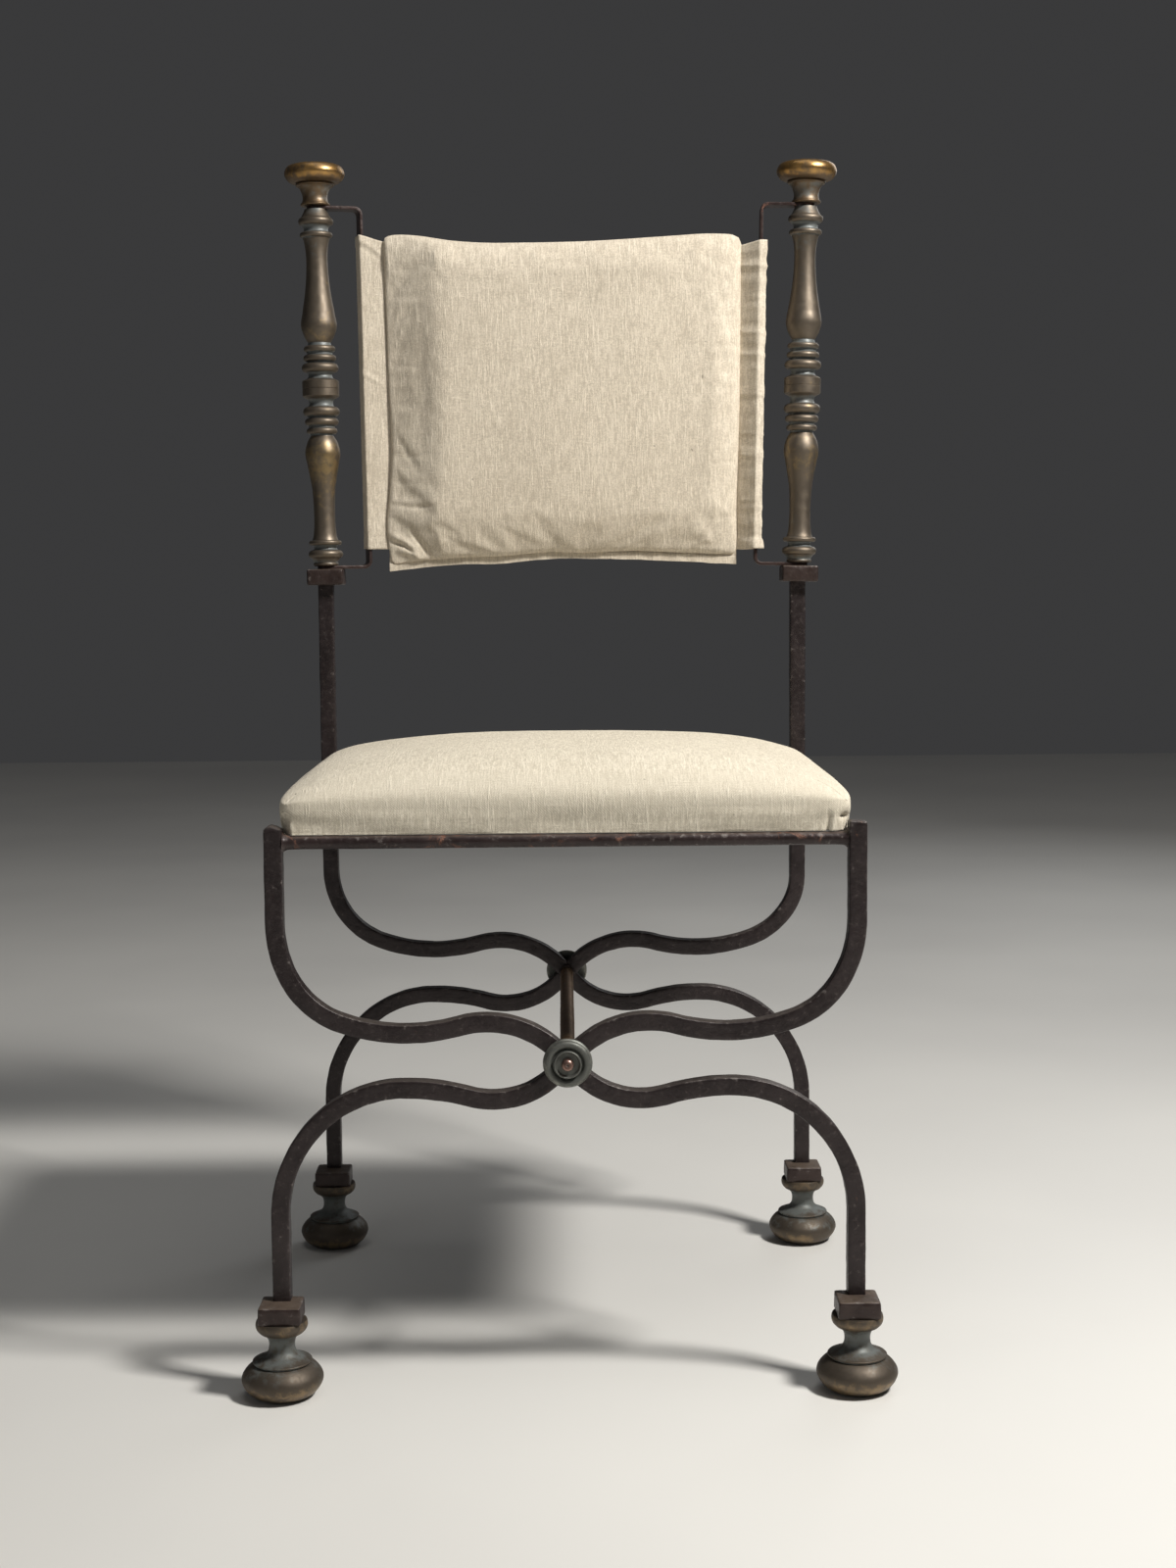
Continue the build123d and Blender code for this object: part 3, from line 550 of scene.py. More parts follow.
def build_bar(name, side, upper, y, keep_front, top, seed):
    """A bar whose foot is on the side given and whose top is on the other."""
    path = []  # (s, x, z, tx, tz)
    s = 0.0
    rows = []
    up = upper[::-1]
    for px, py, a in up[:-1]:
        rows.append((-side * px, CROSS_Z + py, side * math.cos(a), -math.sin(a)))
    for px, py, a in LOWER[1:]:
        rows.append((side * px, CROSS_Z - py, side * math.cos(a), -math.sin(a)))
    c_dir = np.array([side * math.cos(math.radians(CROSS_ANGLE)), -math.sin(math.radians(CROSS_ANGLE))])
    c_nor = np.array([-c_dir[1], c_dir[0]])
    o_dir = np.array([-c_dir[0], c_dir[1]])
    o_nor = np.array([-o_dir[1], o_dir[0]])
    rings = []
    length = 0.0
    prev = None
    done_cross = False
    k = len(SECTION)

    def ring_at(x, z, tx, tz, s_here, slant=None, half=False, inset=0.0, lift=0.0):
        n = np.array([-tz, tx])
        sec = SECTION.copy()
        if inset:
            sec = sec * (1 - inset / HALF)
        base = np.zeros((k, 3))
        base[:, 0] = x + n[0] * sec[:, 0]
        base[:, 2] = z + n[1] * sec[:, 0]
        base[:, 1] = y + sec[:, 1]
        if slant is not None:
            along = (slant * HALF - sec[:, 0] * float(c_nor @ o_nor)) / float(c_dir @ o_nor)
            base[:, 0] += c_dir[0] * along
            base[:, 2] += c_dir[1] * along
        d = forged(base, np.full(k, s_here), seed)
        d = d - 0.10 * SECTION_F * (1 + vnoise(base / 9.0, seed + 7))
        base[:, 0] += n[0] * SECTION_N[:, 0] * d
        base[:, 2] += n[1] * SECTION_N[:, 0] * d
        base[:, 1] += SECTION_N[:, 1] * d
        base[:, 2] += lift
        if half:
            if keep_front:
                base[:, 1] = np.minimum(base[:, 1], y - 0.03)
            else:
                base[:, 1] = np.maximum(base[:, 1], y + 0.03)
        return base

    arc_s = []
    for x, z, tx, tz in rows:
        if prev is not None:
            length += math.hypot(x - prev[0], z - prev[1])
        prev = (x, z)
        off = math.hypot(x, z - CROSS_Z)
        if off < 9.6:
            if not done_cross:
                done_cross = True
                sgn = 1 if float(c_dir @ o_nor) > 0 else -1
                for slant, half in ((-sgn, False), (-sgn, True), (sgn, True), (sgn, False)):
                    rings.append(ring_at(0.0, CROSS_Z, c_dir[0], c_dir[1], length, slant=slant, half=half))
                    arc_s.append(length)
            continue
        rings.append(ring_at(x, z, tx, tz, length))
        arc_s.append(length)
    # the free end at the top
    x, z, tx, tz = rows[0]
    if top == "point":
        extra = [ring_at(x, z - 3.2, tx, tz, 0.0, inset=0.2), ring_at(x, z - 1.5, tx, tz, 0.0, inset=1.4), ring_at(x, z - 0.3, tx, tz, 0.0, inset=3.2)]
        # drawn to a blunt point, a little off the middle
        for r, fall in zip(extra, (0.10, 0.24, 0.30)):
            r[:, 2] -= fall * np.abs(r[:, 0] - (x - 1.2))
        rings = [r for r, q in zip(rings, arc_s) if q > 5.0]
        rings = extra[::-1] + rings
    elif top == "flat":
        extra = [ring_at(x, z - 1.6, tx, tz, 0.0, inset=0.1), ring_at(x, z - 0.55, tx, tz, 0.0, inset=0.6), ring_at(x, z - 0.1, tx, tz, 0.0, inset=1.4)]
        rings = [r for r, q in zip(rings, arc_s) if q > 2.1]
        rings = extra[::-1] + rings
    if top == "flat":
        # struck a little lower at the front and on one side
        for r in rings[:3]:
            r[:, 2] -= 0.05 * (r[:, 0] - x) + 0.5
    verts = [p for r in rings for p in r]
    faces = tube_faces(len(rings), k)
    cap(faces, verts, 0, k, True)
    if top == "point":
        verts[-1] = verts[-1] + np.array([-1.0, -0.5, 0.35])
    cap(faces, verts, (len(rings) - 1) * k, k, False)
    v = np.array(verts)
    edge = np.zeros(len(v))
    n_ring = len(rings) * k
    edge[:n_ring] = np.tile(SECTION_F, len(rings)) * (0.55 + 0.45 * vnoise(v[:n_ring] / 16.0, seed + 11))
    rust = 0.5 + 0.5 * vnoise(v / 40.0, seed + 13)
    return make_mesh(name, v, faces, IRON, "frame", sharp=50, attrs={"edge": edge, "rust": rust * 0.6}, merge=0.004)


for name, side, upper, y, keep_front, top, seed in (
    ("front_leg_bar_left", -1, UPPER_FRONT, -FRAME_Y, True, "flat", 11),
    ("front_leg_bar_right", 1, UPPER_FRONT, -FRAME_Y, False, "point", 31),
    ("rear_leg_bar_left", -1, UPPER_REAR[1], FRAME_Y, False, "plain", 51),
    ("rear_leg_bar_right", 1, UPPER_REAR[-1], FRAME_Y, True, "plain", 71),
):
    ob = build_bar(name + "_forged", side, upper, y, keep_front, top, seed)
    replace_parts(ob, name)


# ---------------------------------------------------------------- lathe work
def lean(side):
    a = math.radians(side * SPLAY[side])
    c, s = math.cos(a), math.sin(a)
    origin = np.array([side * AXIS_X[side], FRAME_Y, BLOCK_TOP_Z])

    def put(p):
        p = np.asarray(p, float).copy()
        z = p[:, 2] - BLOCK_TOP_Z
        out = np.empty_like(p)
        out[:, 0] = c * p[:, 0] + s * z
        out[:, 1] = p[:, 1]
        out[:, 2] = -s * p[:, 0] + c * z
        return out + origin

    return put


def spline_through(points, n=10):
    """Centripetal curve through the points, n steps a span."""
    p = [np.array(q, float) for q in points]
    ext = [2 * p[0] - p[1], *p, 2 * p[-1] - p[-2]]
    out = []
    for i in range(1, len(ext) - 2):
        p0, p1, p2, p3 = ext[i - 1:i + 3]
        t0 = 0.0
        t1 = t0 + max(1e-6, np.linalg.norm(p1 - p0)) ** 0.5
        t2 = t1 + max(1e-6, np.linalg.norm(p2 - p1)) ** 0.5
        t3 = t2 + max(1e-6, np.linalg.norm(p3 - p2)) ** 0.5
        for j in range(1, n + 1):
            t = t1 + (t2 - t1) * j / n
            a1 = (t1 - t) / (t1 - t0) * p0 + (t - t0) / (t1 - t0) * p1
            a2 = (t2 - t) / (t2 - t1) * p1 + (t - t1) / (t2 - t1) * p2
            a3 = (t3 - t) / (t3 - t2) * p2 + (t - t2) / (t3 - t2) * p3
            b1 = (t2 - t) / (t2 - t0) * a1 + (t - t0) / (t2 - t0) * a2
            b2 = (t3 - t) / (t3 - t1) * a2 + (t - t1) / (t3 - t1) * a3
            out.append(tuple((t2 - t) / (t2 - t1) * b1 + (t - t1) / (t2 - t1) * b2))
    return out


def profile_points(steps):
    at = steps[0]
    pts = [at]
    for st in steps[1:]:
        if st[0] == "L":
            q = (st[1], st[2])
            length = math.hypot(q[0] - at[0], q[1] - at[1])
            n = max(1, int(length / 0.9)) if length < 24 else 6
            for i in range(1, n + 1):
                pts.append((at[0] + (q[0] - at[0]) * i / n, at[1] + (q[1] - at[1]) * i / n))
        elif st[0] == "A":
            m_, q = (st[1], st[2]), (st[3], st[4])
            ax, ay, bx, by, cx, cy = *at, *m_, *q
            d = 2 * (ax * (by - cy) + bx * (cy - ay) + cx * (ay - by))
            ux = ((ax * ax + ay * ay) * (by - cy) + (bx * bx + by * by) * (cy - ay) + (cx * cx + cy * cy) * (ay - by)) / d
            uy = ((ax * ax + ay * ay) * (cx - bx) + (bx * bx + by * by) * (ax - cx) + (cx * cx + cy * cy) * (bx - ax)) / d
            r = math.hypot(ax - ux, ay - uy)
            t0, tm, t1 = (math.atan2(p[1] - uy, p[0] - ux) for p in (at, m_, q))
            sweep = (t1 - t0) % (2 * math.pi)
            if (tm - t0) % (2 * math.pi) > sweep:
                sweep -= 2 * math.pi
            n = max(5, int(abs(sweep) * r / 0.55))
            for i in range(1, n + 1):
                t = t0 + sweep * i / n
                pts.append((ux + r * math.cos(t), uy + r * math.sin(t)))
        else:
            q = st[1][-1]
            pts.extend(spline_through([at, *st[1]], 9))
        at = q
    return pts


def lathe(name, steps, material, put=None, segs=112, closed=True, seed=1, dent=0.05, wear_at=None, sharp=38, wobble=0.0):
    """Turned piece about Z, placed by put. closed joins the profile's ends
    along the bore, otherwise both ends are on the axis."""
    prof = np.array(profile_points(steps), float)
    keep = [0]
    for i in range(1, len(prof)):
        if np.hypot(*(prof[i] - prof[keep[-1]])) > 1e-3:
            keep.append(i)
    prof = prof[keep]
    if closed and np.hypot(*(prof[0] - prof[-1])) < 1e-3:
        prof = prof[:-1]
    r, z = prof[:, 0], prof[:, 1]
    turn = np.concatenate([[0], np.cumsum(np.hypot(np.diff(r), np.diff(z)))])
    # how far each point stands out of the turning round it
    wear = np.zeros(len(r))
    for i in range(len(r)):
        near = np.abs(turn - turn[i]) < 9.0
        wear[i] = 0.5 + (r[i] - r[near].mean()) / 3.4
    wear = np.clip(wear, 0, 1)
    if wear_at:
        for i in range(len(r)):
            wear[i] = np.clip(wear_at(r[i], z[i], wear[i]), 0, 1)
    ang = np.linspace(0, 2 * math.pi, segs, endpoint=False)
    verts, att_w, att_t = [], [], []
    ring_of = []
    for i in range(len(r)):
        if r[i] < 1e-6:
            ring_of.append((len(verts), 1))
            verts.append((0.0, 0.0, z[i]))
            att_w.append(wear[i])
            att_t.append(turn[i])
        else:
            ring_of.append((len(verts), segs))
            for a in ang:
                verts.append((r[i] * math.cos(a), r[i] * math.sin(a), z[i]))
                att_w.append(wear[i])
                att_t.append(turn[i])
    v = np.array(verts)
    rad = np.hypot(v[:, 0], v[:, 1])
    d = dent * (0.7 * vnoise(v / 7.0, seed) + 0.5 * vnoise(v / 2.6, seed + 1)) + wobble * vnoise(v / 24.0, seed + 2)
    f = 1 + np.where(rad > 4.4, d / np.maximum(rad, 1e-6), 0)
    v[:, 0] *= f
    v[:, 1] *= f
    faces = []
    count = len(ring_of)
    for i in range(count if closed else count - 1):
        (a, na), (b, nb) = ring_of[i], ring_of[(i + 1) % count]
        for j in range(segs):
            j2 = (j + 1) % segs
            if na == 1 and nb == 1:
                break
            if na == 1:
                faces.append((a, b + j2, b + j))
            elif nb == 1:
                faces.append((a + j, a + j2, b))
            else:
                faces.append((a + j, a + j2, b + j2, b + j))
    if put is not None:
        v = put(v)
    return make_mesh(name, v, faces, material, "frame", sharp=sharp, attrs={"wear": att_w, "turn": att_t}, merge=0.0005)


ROD = 4.1
BAND_Z, STACK_TOP_Z = 820.5, 983.7
FINIAL_Z, TOTAL_H = 986.7, 1024.2
BALUSTER_LOWER = [
    (ROD, 657.0), ("L", 10.6, 657.0), ("A", 11.7, 658.5, 10.9, 660.2), ("S", [(11.6, 661.6), (13.4, 664.2)]),
    ("A", 16.0, 668.3, 12.0, 671.8), ("A", 10.5, 674.0, 12.0, 676.5), ("A", 15.3, 678.4, 12.2, 680.6),
    ("S", [(11.0, 684.5), (10.1, 692.0), (9.8, 709.0), (10.7, 727.5), (12.1, 737.0), (14.4, 750.0), (16.2, 761.5), (13.9, 771.5), (10.5, 777.4)]),
    ("L", 10.6, 779.0), ("A", 14.3, 781.6, 12.0, 784.6), ("L", 11.9, 786.6), ("A", 15.6, 790.6, 11.7, 793.6),
    ("L", 11.6, 795.0), ("A", 16.9, 799.8, 12.2, 804.0), ("A", 11.0, 807.6, 13.2, 811.4), ("L", 16.0, 812.8),
    ("L", 17.0, 813.8), ("L", 17.0, 820.1), ("L", 16.6, BAND_Z), ("L", ROD, BAND_Z),
]
BALUSTER_UPPER = [
    (ROD, BAND_Z), ("L", 16.6, BAND_Z), ("L", 17.0, 820.9), ("L", 17.0, 827.2), ("L", 16.0, 828.2), ("L", 13.2, 829.4),
    ("A", 11.0, 832.4, 12.2, 835.4), ("A", 17.0, 839.4, 11.4, 843.6), ("L", 11.2, 845.6), ("A", 15.2, 848.6, 11.8, 851.6),
    ("L", 11.8, 853.8), ("A", 14.6, 857.2, 11.0, 859.8), ("L", 10.3, 862.4),
    ("S", [(13.6, 868.2), (16.5, 878.0), (14.9, 889.4), (12.2, 906.0), (10.9, 917.0), (9.9, 932.0), (10.1, 945.0), (11.2, 953.0), (12.6, 958.0)]),
    ("A", 15.1, 960.6, 12.0, 962.8), ("A", 11.2, 966.0, 13.0, 969.0), ("A", 16.1, 972.2, 13.6, 976.2),
    ("S", [(11.4, 980.4), (10.4, 982.6), (10.1, STACK_TOP_Z)]), ("L", ROD, STACK_TOP_Z),
]
FINIAL = [
    (ROD, FINIAL_Z), ("L", 12.4, FINIAL_Z), ("A", 13.5, 988.0, 12.4, 989.4),
    ("S", [(11.6, 991.6), (11.4, 994.6), (12.2, 998.4), (13.8, 1002.0), (15.6, 1004.2)]),
    ("A", 17.6, 1005.4, 17.0, 1007.0),
    ("S", [(20.0, 1007.2), (24.6, 1009.6), (27.6, 1015.4), (25.2, 1021.4), (19.0, 1023.8), (9.0, TOTAL_H), (0.0, TOTAL_H)]),
]
FOOT = [
    (0.0, 0.0), ("L", 17.5, 0.0), ("L", 20.0, 0.4),
    ("S", [(23.8, 2.2), (27.5, 5.3), (30.3, 9.3), (31.7, 13.8), (31.0, 17.6), (28.2, 21.8), (24.8, 24.8), (22.6, 26.1)]),
    ("L", 21.6, 26.3), ("L", 21.6, 27.0), ("L", 22.7, 27.2), ("A", 23.2, 28.0, 22.4, 28.7),
    ("S", [(20.4, 29.5), (17.0, 31.1), (13.4, 33.0), (10.9, 35.9), (10.1, 39.5), (10.2, 43.0), (11.2, 46.3), (13.6, 48.9), (16.8, 50.6)]),
    ("L", 17.4, 51.2), ("A", 20.2, 55.9, 19.6, 60.0), ("L", 4.9, 60.0), ("L", 4.9, 69.0), ("L", 0.0, 69.0),
]
BOSS = [
    (ROD, 0.0), ("L", 18.4, 0.0), ("A", 19.2, 1.3, 18.6, 2.6), ("L", 17.8, 3.2), ("A", 15.4, 7.4, 12.2, 5.6),
    ("L", 11.6, 4.8), ("L", 10.8, 4.8), ("L", 10.8, 8.6), ("A", 10.2, 9.3, 9.4, 8.8), ("L", 8.6, 6.6), ("L", ROD, 6.6),
]
DOME = [(0.0, 9.6), ("L", ROD, 9.6), ("L", ROD, 6.6), ("L", 4.8, 6.6), ("L", 4.8, 8.4), ("S", [(4.2, 10.6), (2.4, 11.8), (1.1, 11.9), (0.5, 11.2), (0.0, 10.9)])]
COLLAR = [(ROD, 0.0), ("L", 7.1, 0.0), ("A", 7.4, 3.0, 6.7, 6.0), ("L", ROD, 6.0)]


def vase_wear(r, z, w):
    """The vase bodies are handled all over, the long necks less."""
    for lo, hi, peak, rub in ((681.0, 777.0, 752.0, 0.40), (863.0, 957.0, 888.0, 0.24)):
        if lo < z < hi and r > 6:
            return 0.40 + rub * math.exp(-(((z - peak) / 38.0) ** 2))
    return 0.52 * w


def finial_wear(r, z, w):
    if z > 1006.5:
        return 0.42 + 0.30 * smoothstep(z, 1007.5, 1013.0)
    return 0.12 + 0.30 * w


def foot_wear(r, z, w):
    if z < 26.2:
        return 0.34 + 0.42 * math.exp(-(((z - 8.0) / 7.5) ** 2))
    if z < 27.1:
        return 0.0
    if z < 50.8:
        return 0.10 + 0.20 * w
    return 0.3 + 0.4 * w


for word, side, seed in (("left", -1, 101), ("right", 1, 131)):
    put = lean(side)
    for nm, steps, mat, wear, sd in (
        ("baluster_lower", BALUSTER_LOWER, BRASS, vase_wear, 0),
        ("baluster_upper", BALUSTER_UPPER, BRASS, vase_wear, 5),
    ):
        ob = lathe(f"{nm}_{word}_turned", steps, mat, put, seed=seed + sd, wear_at=wear)
        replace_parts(ob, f"{nm}_{word}")
    # the finial's bore is blind, so its profile starts and ends on the axis
    steps = [(0.0, 1006.0), ("L", ROD, 1006.0), ("L", ROD, FINIAL_Z), *FINIAL[1:]]
    ob = lathe(f"finial_{word}_turned", steps, BRASS_FINIAL, put, seed=seed + 9, closed=False, wear_at=finial_wear)
    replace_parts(ob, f"finial_{word}")

for fb, y in (("front", -FRAME_Y - FOOT_OFFSET), ("rear", FRAME_Y - FOOT_OFFSET)):
    for lr, x in (("left", -LEG_X), ("right", LEG_X)):
        shift = np.array([x, y, FLOOR_Z])
        ob = lathe(f"foot_{fb}_{lr}_turned", FOOT, BRASS_FOOT, lambda p: p + shift, seed=151 + int(x + y) % 37, closed=False, wear_at=foot_wear, dent=0.09)
        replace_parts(ob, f"foot_{fb}_{lr}")

FACE, INNER = FRAME_Y + HALF, FRAME_Y - HALF


def along_y(sign, y0):
    """Turned about Z, laid so that its height runs along sign * Y."""

    def put(p):
        out = np.empty_like(p)
        out[:, 0] = p[:, 0]
        out[:, 1] = y0 + sign * p[:, 2]
        out[:, 2] = CROSS_Z - sign * p[:, 1]
        return out

    return put


def boss_wear(r, z, w):
    return 0.30 + 0.55 * w


for nm, steps, mat, slot, put, closed in (
    ("front_boss", BOSS, BRASS_BOSS, "aged_brass", along_y(-1, -FACE), True),
    ("rear_boss", BOSS, BRASS_BOSS, "aged_brass", along_y(1, FACE), True),
    ("dome_nut_front", DOME, COPPER, "copper", along_y(-1, -FACE), False),
    ("dome_nut_rear", DOME, COPPER, "copper", along_y(1, FACE), False),
    ("stretcher_collar_front", COLLAR, IRON_BLOCK, "wrought_iron", along_y(1, -INNER), True),
    ("stretcher_collar_rear", COLLAR, IRON_BLOCK, "wrought_iron", along_y(-1, INNER), True),
):
    ob = lathe(nm + "_turned", steps, mat, put, segs=96, closed=closed, seed=171, wear_at=boss_wear if nm.endswith("boss") else None)
    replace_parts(ob, nm)

TUBE = [(ROD, -181.7), ("L", 6.0, -181.7)]
for i in range(1, 61):
    TUBE.append(("L", 6.0, -181.7 + 363.4 * i / 60))
TUBE.append(("L", ROD, 181.7))
ob = lathe("stretcher_tube_turned", TUBE, BRASS_BROWN, along_y(1, 0.0), segs=48, seed=191, dent=0.07, wobble=0.08, wear_at=lambda r, z, w: 0.62)
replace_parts(ob, "stretcher_tube")


# ---------------------------------------------------------------- round rails
RAIL_Z, RAIL_R = 442.8, 5.2


def build_rail(name, a, b, seed, weld=2.6, rust=0.6):
    """Round rail from a to b with the weld metal drawn out at both ends."""
    a, b = np.array(a, float), np.array(b, float)
    length = np.linalg.norm(b - a)
    axis = (b - a) / length
    up = np.array([0.0, 0.0, 1.0])
    across = np.cross(up, axis)
    s = [0.0]
    while s[-1] < length:
        near = min(s[-1], length - s[-1])
        s.append(min(length, s[-1] + (0.7 if near < 8 else 2.4)))
    k = 28
    ang = np.linspace(0, 2 * math.pi, k, endpoint=False)
    rings = []
    for t in s:
        d = min(t, length - t)
        base = a + axis * t
        u = np.outer(np.cos(ang), across) + np.outer(np.sin(ang), up)
        flare = weld * math.exp(-d / 1.9)
        pts = base + u * RAIL_R
        r = RAIL_R + flare * (1 + 0.35 * vnoise(pts / 3.0, seed)) + 0.10 * vnoise(pts / 9.0, seed + 1) + 0.05 * vnoise(pts / 3.2, seed + 2)
        rings.append(base + u * r[:, None])
    verts = [p for r in rings for p in r]
    faces = tube_faces(len(rings), k)
    cap(faces, verts, 0, k, True)
    cap(faces, verts, (len(rings) - 1) * k, k, False)
    v = np.array(verts)
    ru = np.clip(0.5 + 0.7 * vnoise(v / 30.0, seed + 4), 0, 1) * rust
    return make_mesh(name, v, faces, IRON_RAIL, "frame", sharp=60, attrs={"edge": np.zeros(len(v)), "rust": ru}, merge=0.001)


mid_x = {s: (FRONT_TOP_X + POST_X[s]) / 2 for s in (-1, 1)}
for nm, a, b, seed, rust in (
    ("seat_rail_front", (-(FRONT_TOP_X - HALF), -FRAME_Y, RAIL_Z), (FRONT_TOP_X - HALF, -FRAME_Y, RAIL_Z), 201, 1.0),
    ("seat_rail_rear", (-(POST_X[-1] - HALF), FRAME_Y, RAIL_Z), (POST_X[1] - HALF, FRAME_Y, RAIL_Z), 211, 0.6),
    ("seat_rail_left", (-mid_x[-1], -INNER, RAIL_Z), (-mid_x[-1], INNER, RAIL_Z), 221, 0.6),
    ("seat_rail_right", (mid_x[1], -INNER, RAIL_Z), (mid_x[1], INNER, RAIL_Z), 231, 0.6),
):
    ob = build_rail(nm + "_welded", a, b, seed, rust=rust)
    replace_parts(ob, nm)


# ---------------------------------------------------------------- blocks
BLOCK_SEC, BLOCK_N, BLOCK_F = rounded_rect(33.4, 33.4, 1.5, 12, 4)


def build_block(name, z0, z1, put, seed, taper=0.0, bore=0.0):
    k = len(BLOCK_SEC)
    h = z1 - z0
    levels = [(0.0, 1.5), (0.15, 0.9), (0.5, 0.35), (1.1, 0.05)]
    mid = [(1.1 + (h - 2.2) * i / 6, 0.0) for i in range(1, 6)]
    levels = levels + mid + [(h - l, i) for l, i in levels[::-1]]
    rings = []
    for lz, inset in levels:
        inset = inset + taper * lz / h
        p = np.zeros((k, 3))
        p[:, 0] = BLOCK_SEC[:, 0] - inset * np.sign(BLOCK_SEC[:, 0]) * np.minimum(1, np.abs(BLOCK_SEC[:, 0]) / 14)
        p[:, 1] = BLOCK_SEC[:, 1] - inset * np.sign(BLOCK_SEC[:, 1]) * np.minimum(1, np.abs(BLOCK_SEC[:, 1]) / 14)
        p[:, 2] = z0 + lz
        d = 0.20 * vnoise(p / 11.0, seed) + 0.12 * vnoise(p / 4.0, seed + 1) - 0.25 * BLOCK_F * (1 + vnoise(p / 6.0, seed + 2))
        p[:, 0] += BLOCK_N[:, 0] * d
        p[:, 1] += BLOCK_N[:, 1] * d
        rings.append(p)
    verts = [p for r in rings for p in r]
    faces = tube_faces(len(rings), k)
    n_ring = len(verts)
    cap(faces, verts, 0, k, True)
    cap(faces, verts, (len(rings) - 1) * k, k, False)
    v = np.array(verts)
    edge = np.zeros(len(v))
    edge[:n_ring] = np.tile(BLOCK_F, len(rings))
    for i, (lz, inset) in enumerate(levels):
        if inset > 0.3:
            edge[i * k:(i + 1) * k] = 1.0
    edge *= 0.6 + 0.4 * vnoise(v / 8.0, seed + 5)
    v = put(v)
    rust = np.clip(0.5 + 0.6 * vnoise(v / 18.0, seed + 6), 0, 1) * 0.5
    return make_mesh(name, v, faces, IRON_BLOCK, "frame", sharp=50, attrs={"edge": edge, "rust": rust}, merge=0.001)


for fb, y in (("front", -FRAME_Y - FOOT_OFFSET), ("rear", FRAME_Y - FOOT_OFFSET)):
    for lr, x in (("left", -LEG_X), ("right", LEG_X)):
        shift = np.array([x, y, 0.0])
        ob = build_block(f"foot_block_{fb}_{lr}_forged", ANKLE_Z0, ANKLE_Z1, lambda p: p + shift, 241 + int(x + y) % 41, taper=0.4)
        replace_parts(ob, f"foot_block_{fb}_{lr}")
for word, side in (("left", -1), ("right", 1)):
    ob = build_block(f"post_block_{word}_forged", BLOCK_TOP_Z - 14.8, BLOCK_TOP_Z, lean(side), 281 + side)
    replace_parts(ob, f"post_block_{word}")


# ---------------------------------------------------------------- straps
STRAP_T, STRAP_W, REACH, BEND = 3.0, 16.0, 41.0, 7.5
STRAP_SEC, STRAP_N, STRAP_F = rounded_rect(STRAP_T, STRAP_W, 0.7, 4, 3)


def build_strap(name, side, swivel, seed):
    z0, z1 = BLOCK_TOP_Z + STRAP_T / 2, FINIAL_Z - STRAP_T / 2
    r = BEND - STRAP_T / 2
    path = []  # u, z, angle of travel in the u-z plane, half width
    for i in range(9):
        u = -8.0 * math.cos(math.pi / 2 * i / 8)
        path.append((u, z0, 0.0, math.sqrt(max(0.05, 64.0 - u * u))))
    for i in range(1, 19):
        path.append(((REACH - r) * i / 18, z0, 0.0, 8.0))
    for i in range(1, 8):
        a = math.pi / 2 * i / 8
        path.append((REACH - r + r * math.sin(a), z0 + r - r * math.cos(a), a, 8.0))
    n = 150
    for i in range(n + 1):
        path.append((REACH, z0 + r + (z1 - z0 - 2 * r) * i / n, math.pi / 2, 8.0))
    for i in range(1, 8):
        a = math.pi / 2 * i / 8
        path.append((REACH - r + r * math.cos(a), z1 - r + r * math.sin(a), math.pi / 2 + a, 8.0))
    for i in range(0, 18):
        path.append(((REACH - r) * (1 - i / 18), z1, math.pi, 8.0))
    for i in range(9):
        u = -8.0 * math.sin(math.pi / 2 * i / 8)
        path.append((u, z1, math.pi, math.sqrt(max(0.05, 64.0 - u * u))))
    k = len(STRAP_SEC)
    rings = []
    for u, z, a, hw in path:
        n_dir = (-math.sin(a), math.cos(a))
        p = np.zeros((k, 3))
        p[:, 0] = u + n_dir[0] * STRAP_SEC[:, 0]
        p[:, 2] = z + n_dir[1] * STRAP_SEC[:, 0]
        p[:, 1] = STRAP_SEC[:, 1] * hw / 8.0
        d = 0.10 * vnoise(p / 8.0, seed) + 0.06 * vnoise(p / 3.0, seed + 1)
        p[:, 0] += n_dir[0] * STRAP_N[:, 0] * d
        p[:, 2] += n_dir[1] * STRAP_N[:, 0] * d
        p[:, 1] += STRAP_N[:, 1] * d
        rings.append(p)
    verts = [p for q in rings for p in q]
    faces = tube_faces(len(rings), k)
    n_ring = len(verts)
    cap(faces, verts, 0, k, True)
    cap(faces, verts, (len(rings) - 1) * k, k, False)
    v = np.array(verts)
    edge = np.zeros(len(v))
    edge[:n_ring] = np.tile(STRAP_F, len(rings)) * 0.8
    rust = np.clip(0.6 + 0.6 * vnoise(v / 22.0, seed + 3), 0, 1)
    if side > 0:
        v[:, 0] *= -1
        faces = [f[::-1] for f in faces]
    b = math.radians(-side * swivel)
    c, s = math.cos(b), math.sin(b)
    w = v.copy()
    w[:, 0] = c * v[:, 0] - s * v[:, 1]
    w[:, 1] = s * v[:, 0] + c * v[:, 1]
    v = lean(side)(w)
    return make_mesh(name, v, faces, IRON_STRAP, "frame", sharp=60, attrs={"edge": edge, "rust": rust}, merge=0.001)


for word, side, swivel in (("left", -1, 17.0), ("right", 1, 2.0)):
    ob = build_strap(f"back_strap_{word}_bent", side, swivel, 301 + side)
    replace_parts(ob, f"back_strap_{word}")


# carried-over CAD pieces: the threaded rods. The board inside the seat is made anew below.
for nm in ("tie_rod", "post_rod_left", "post_rod_right"):
    o = frame["nodes"][nm]
    o.data.materials.clear()
    o.data.materials.append(IRON_STRAP)


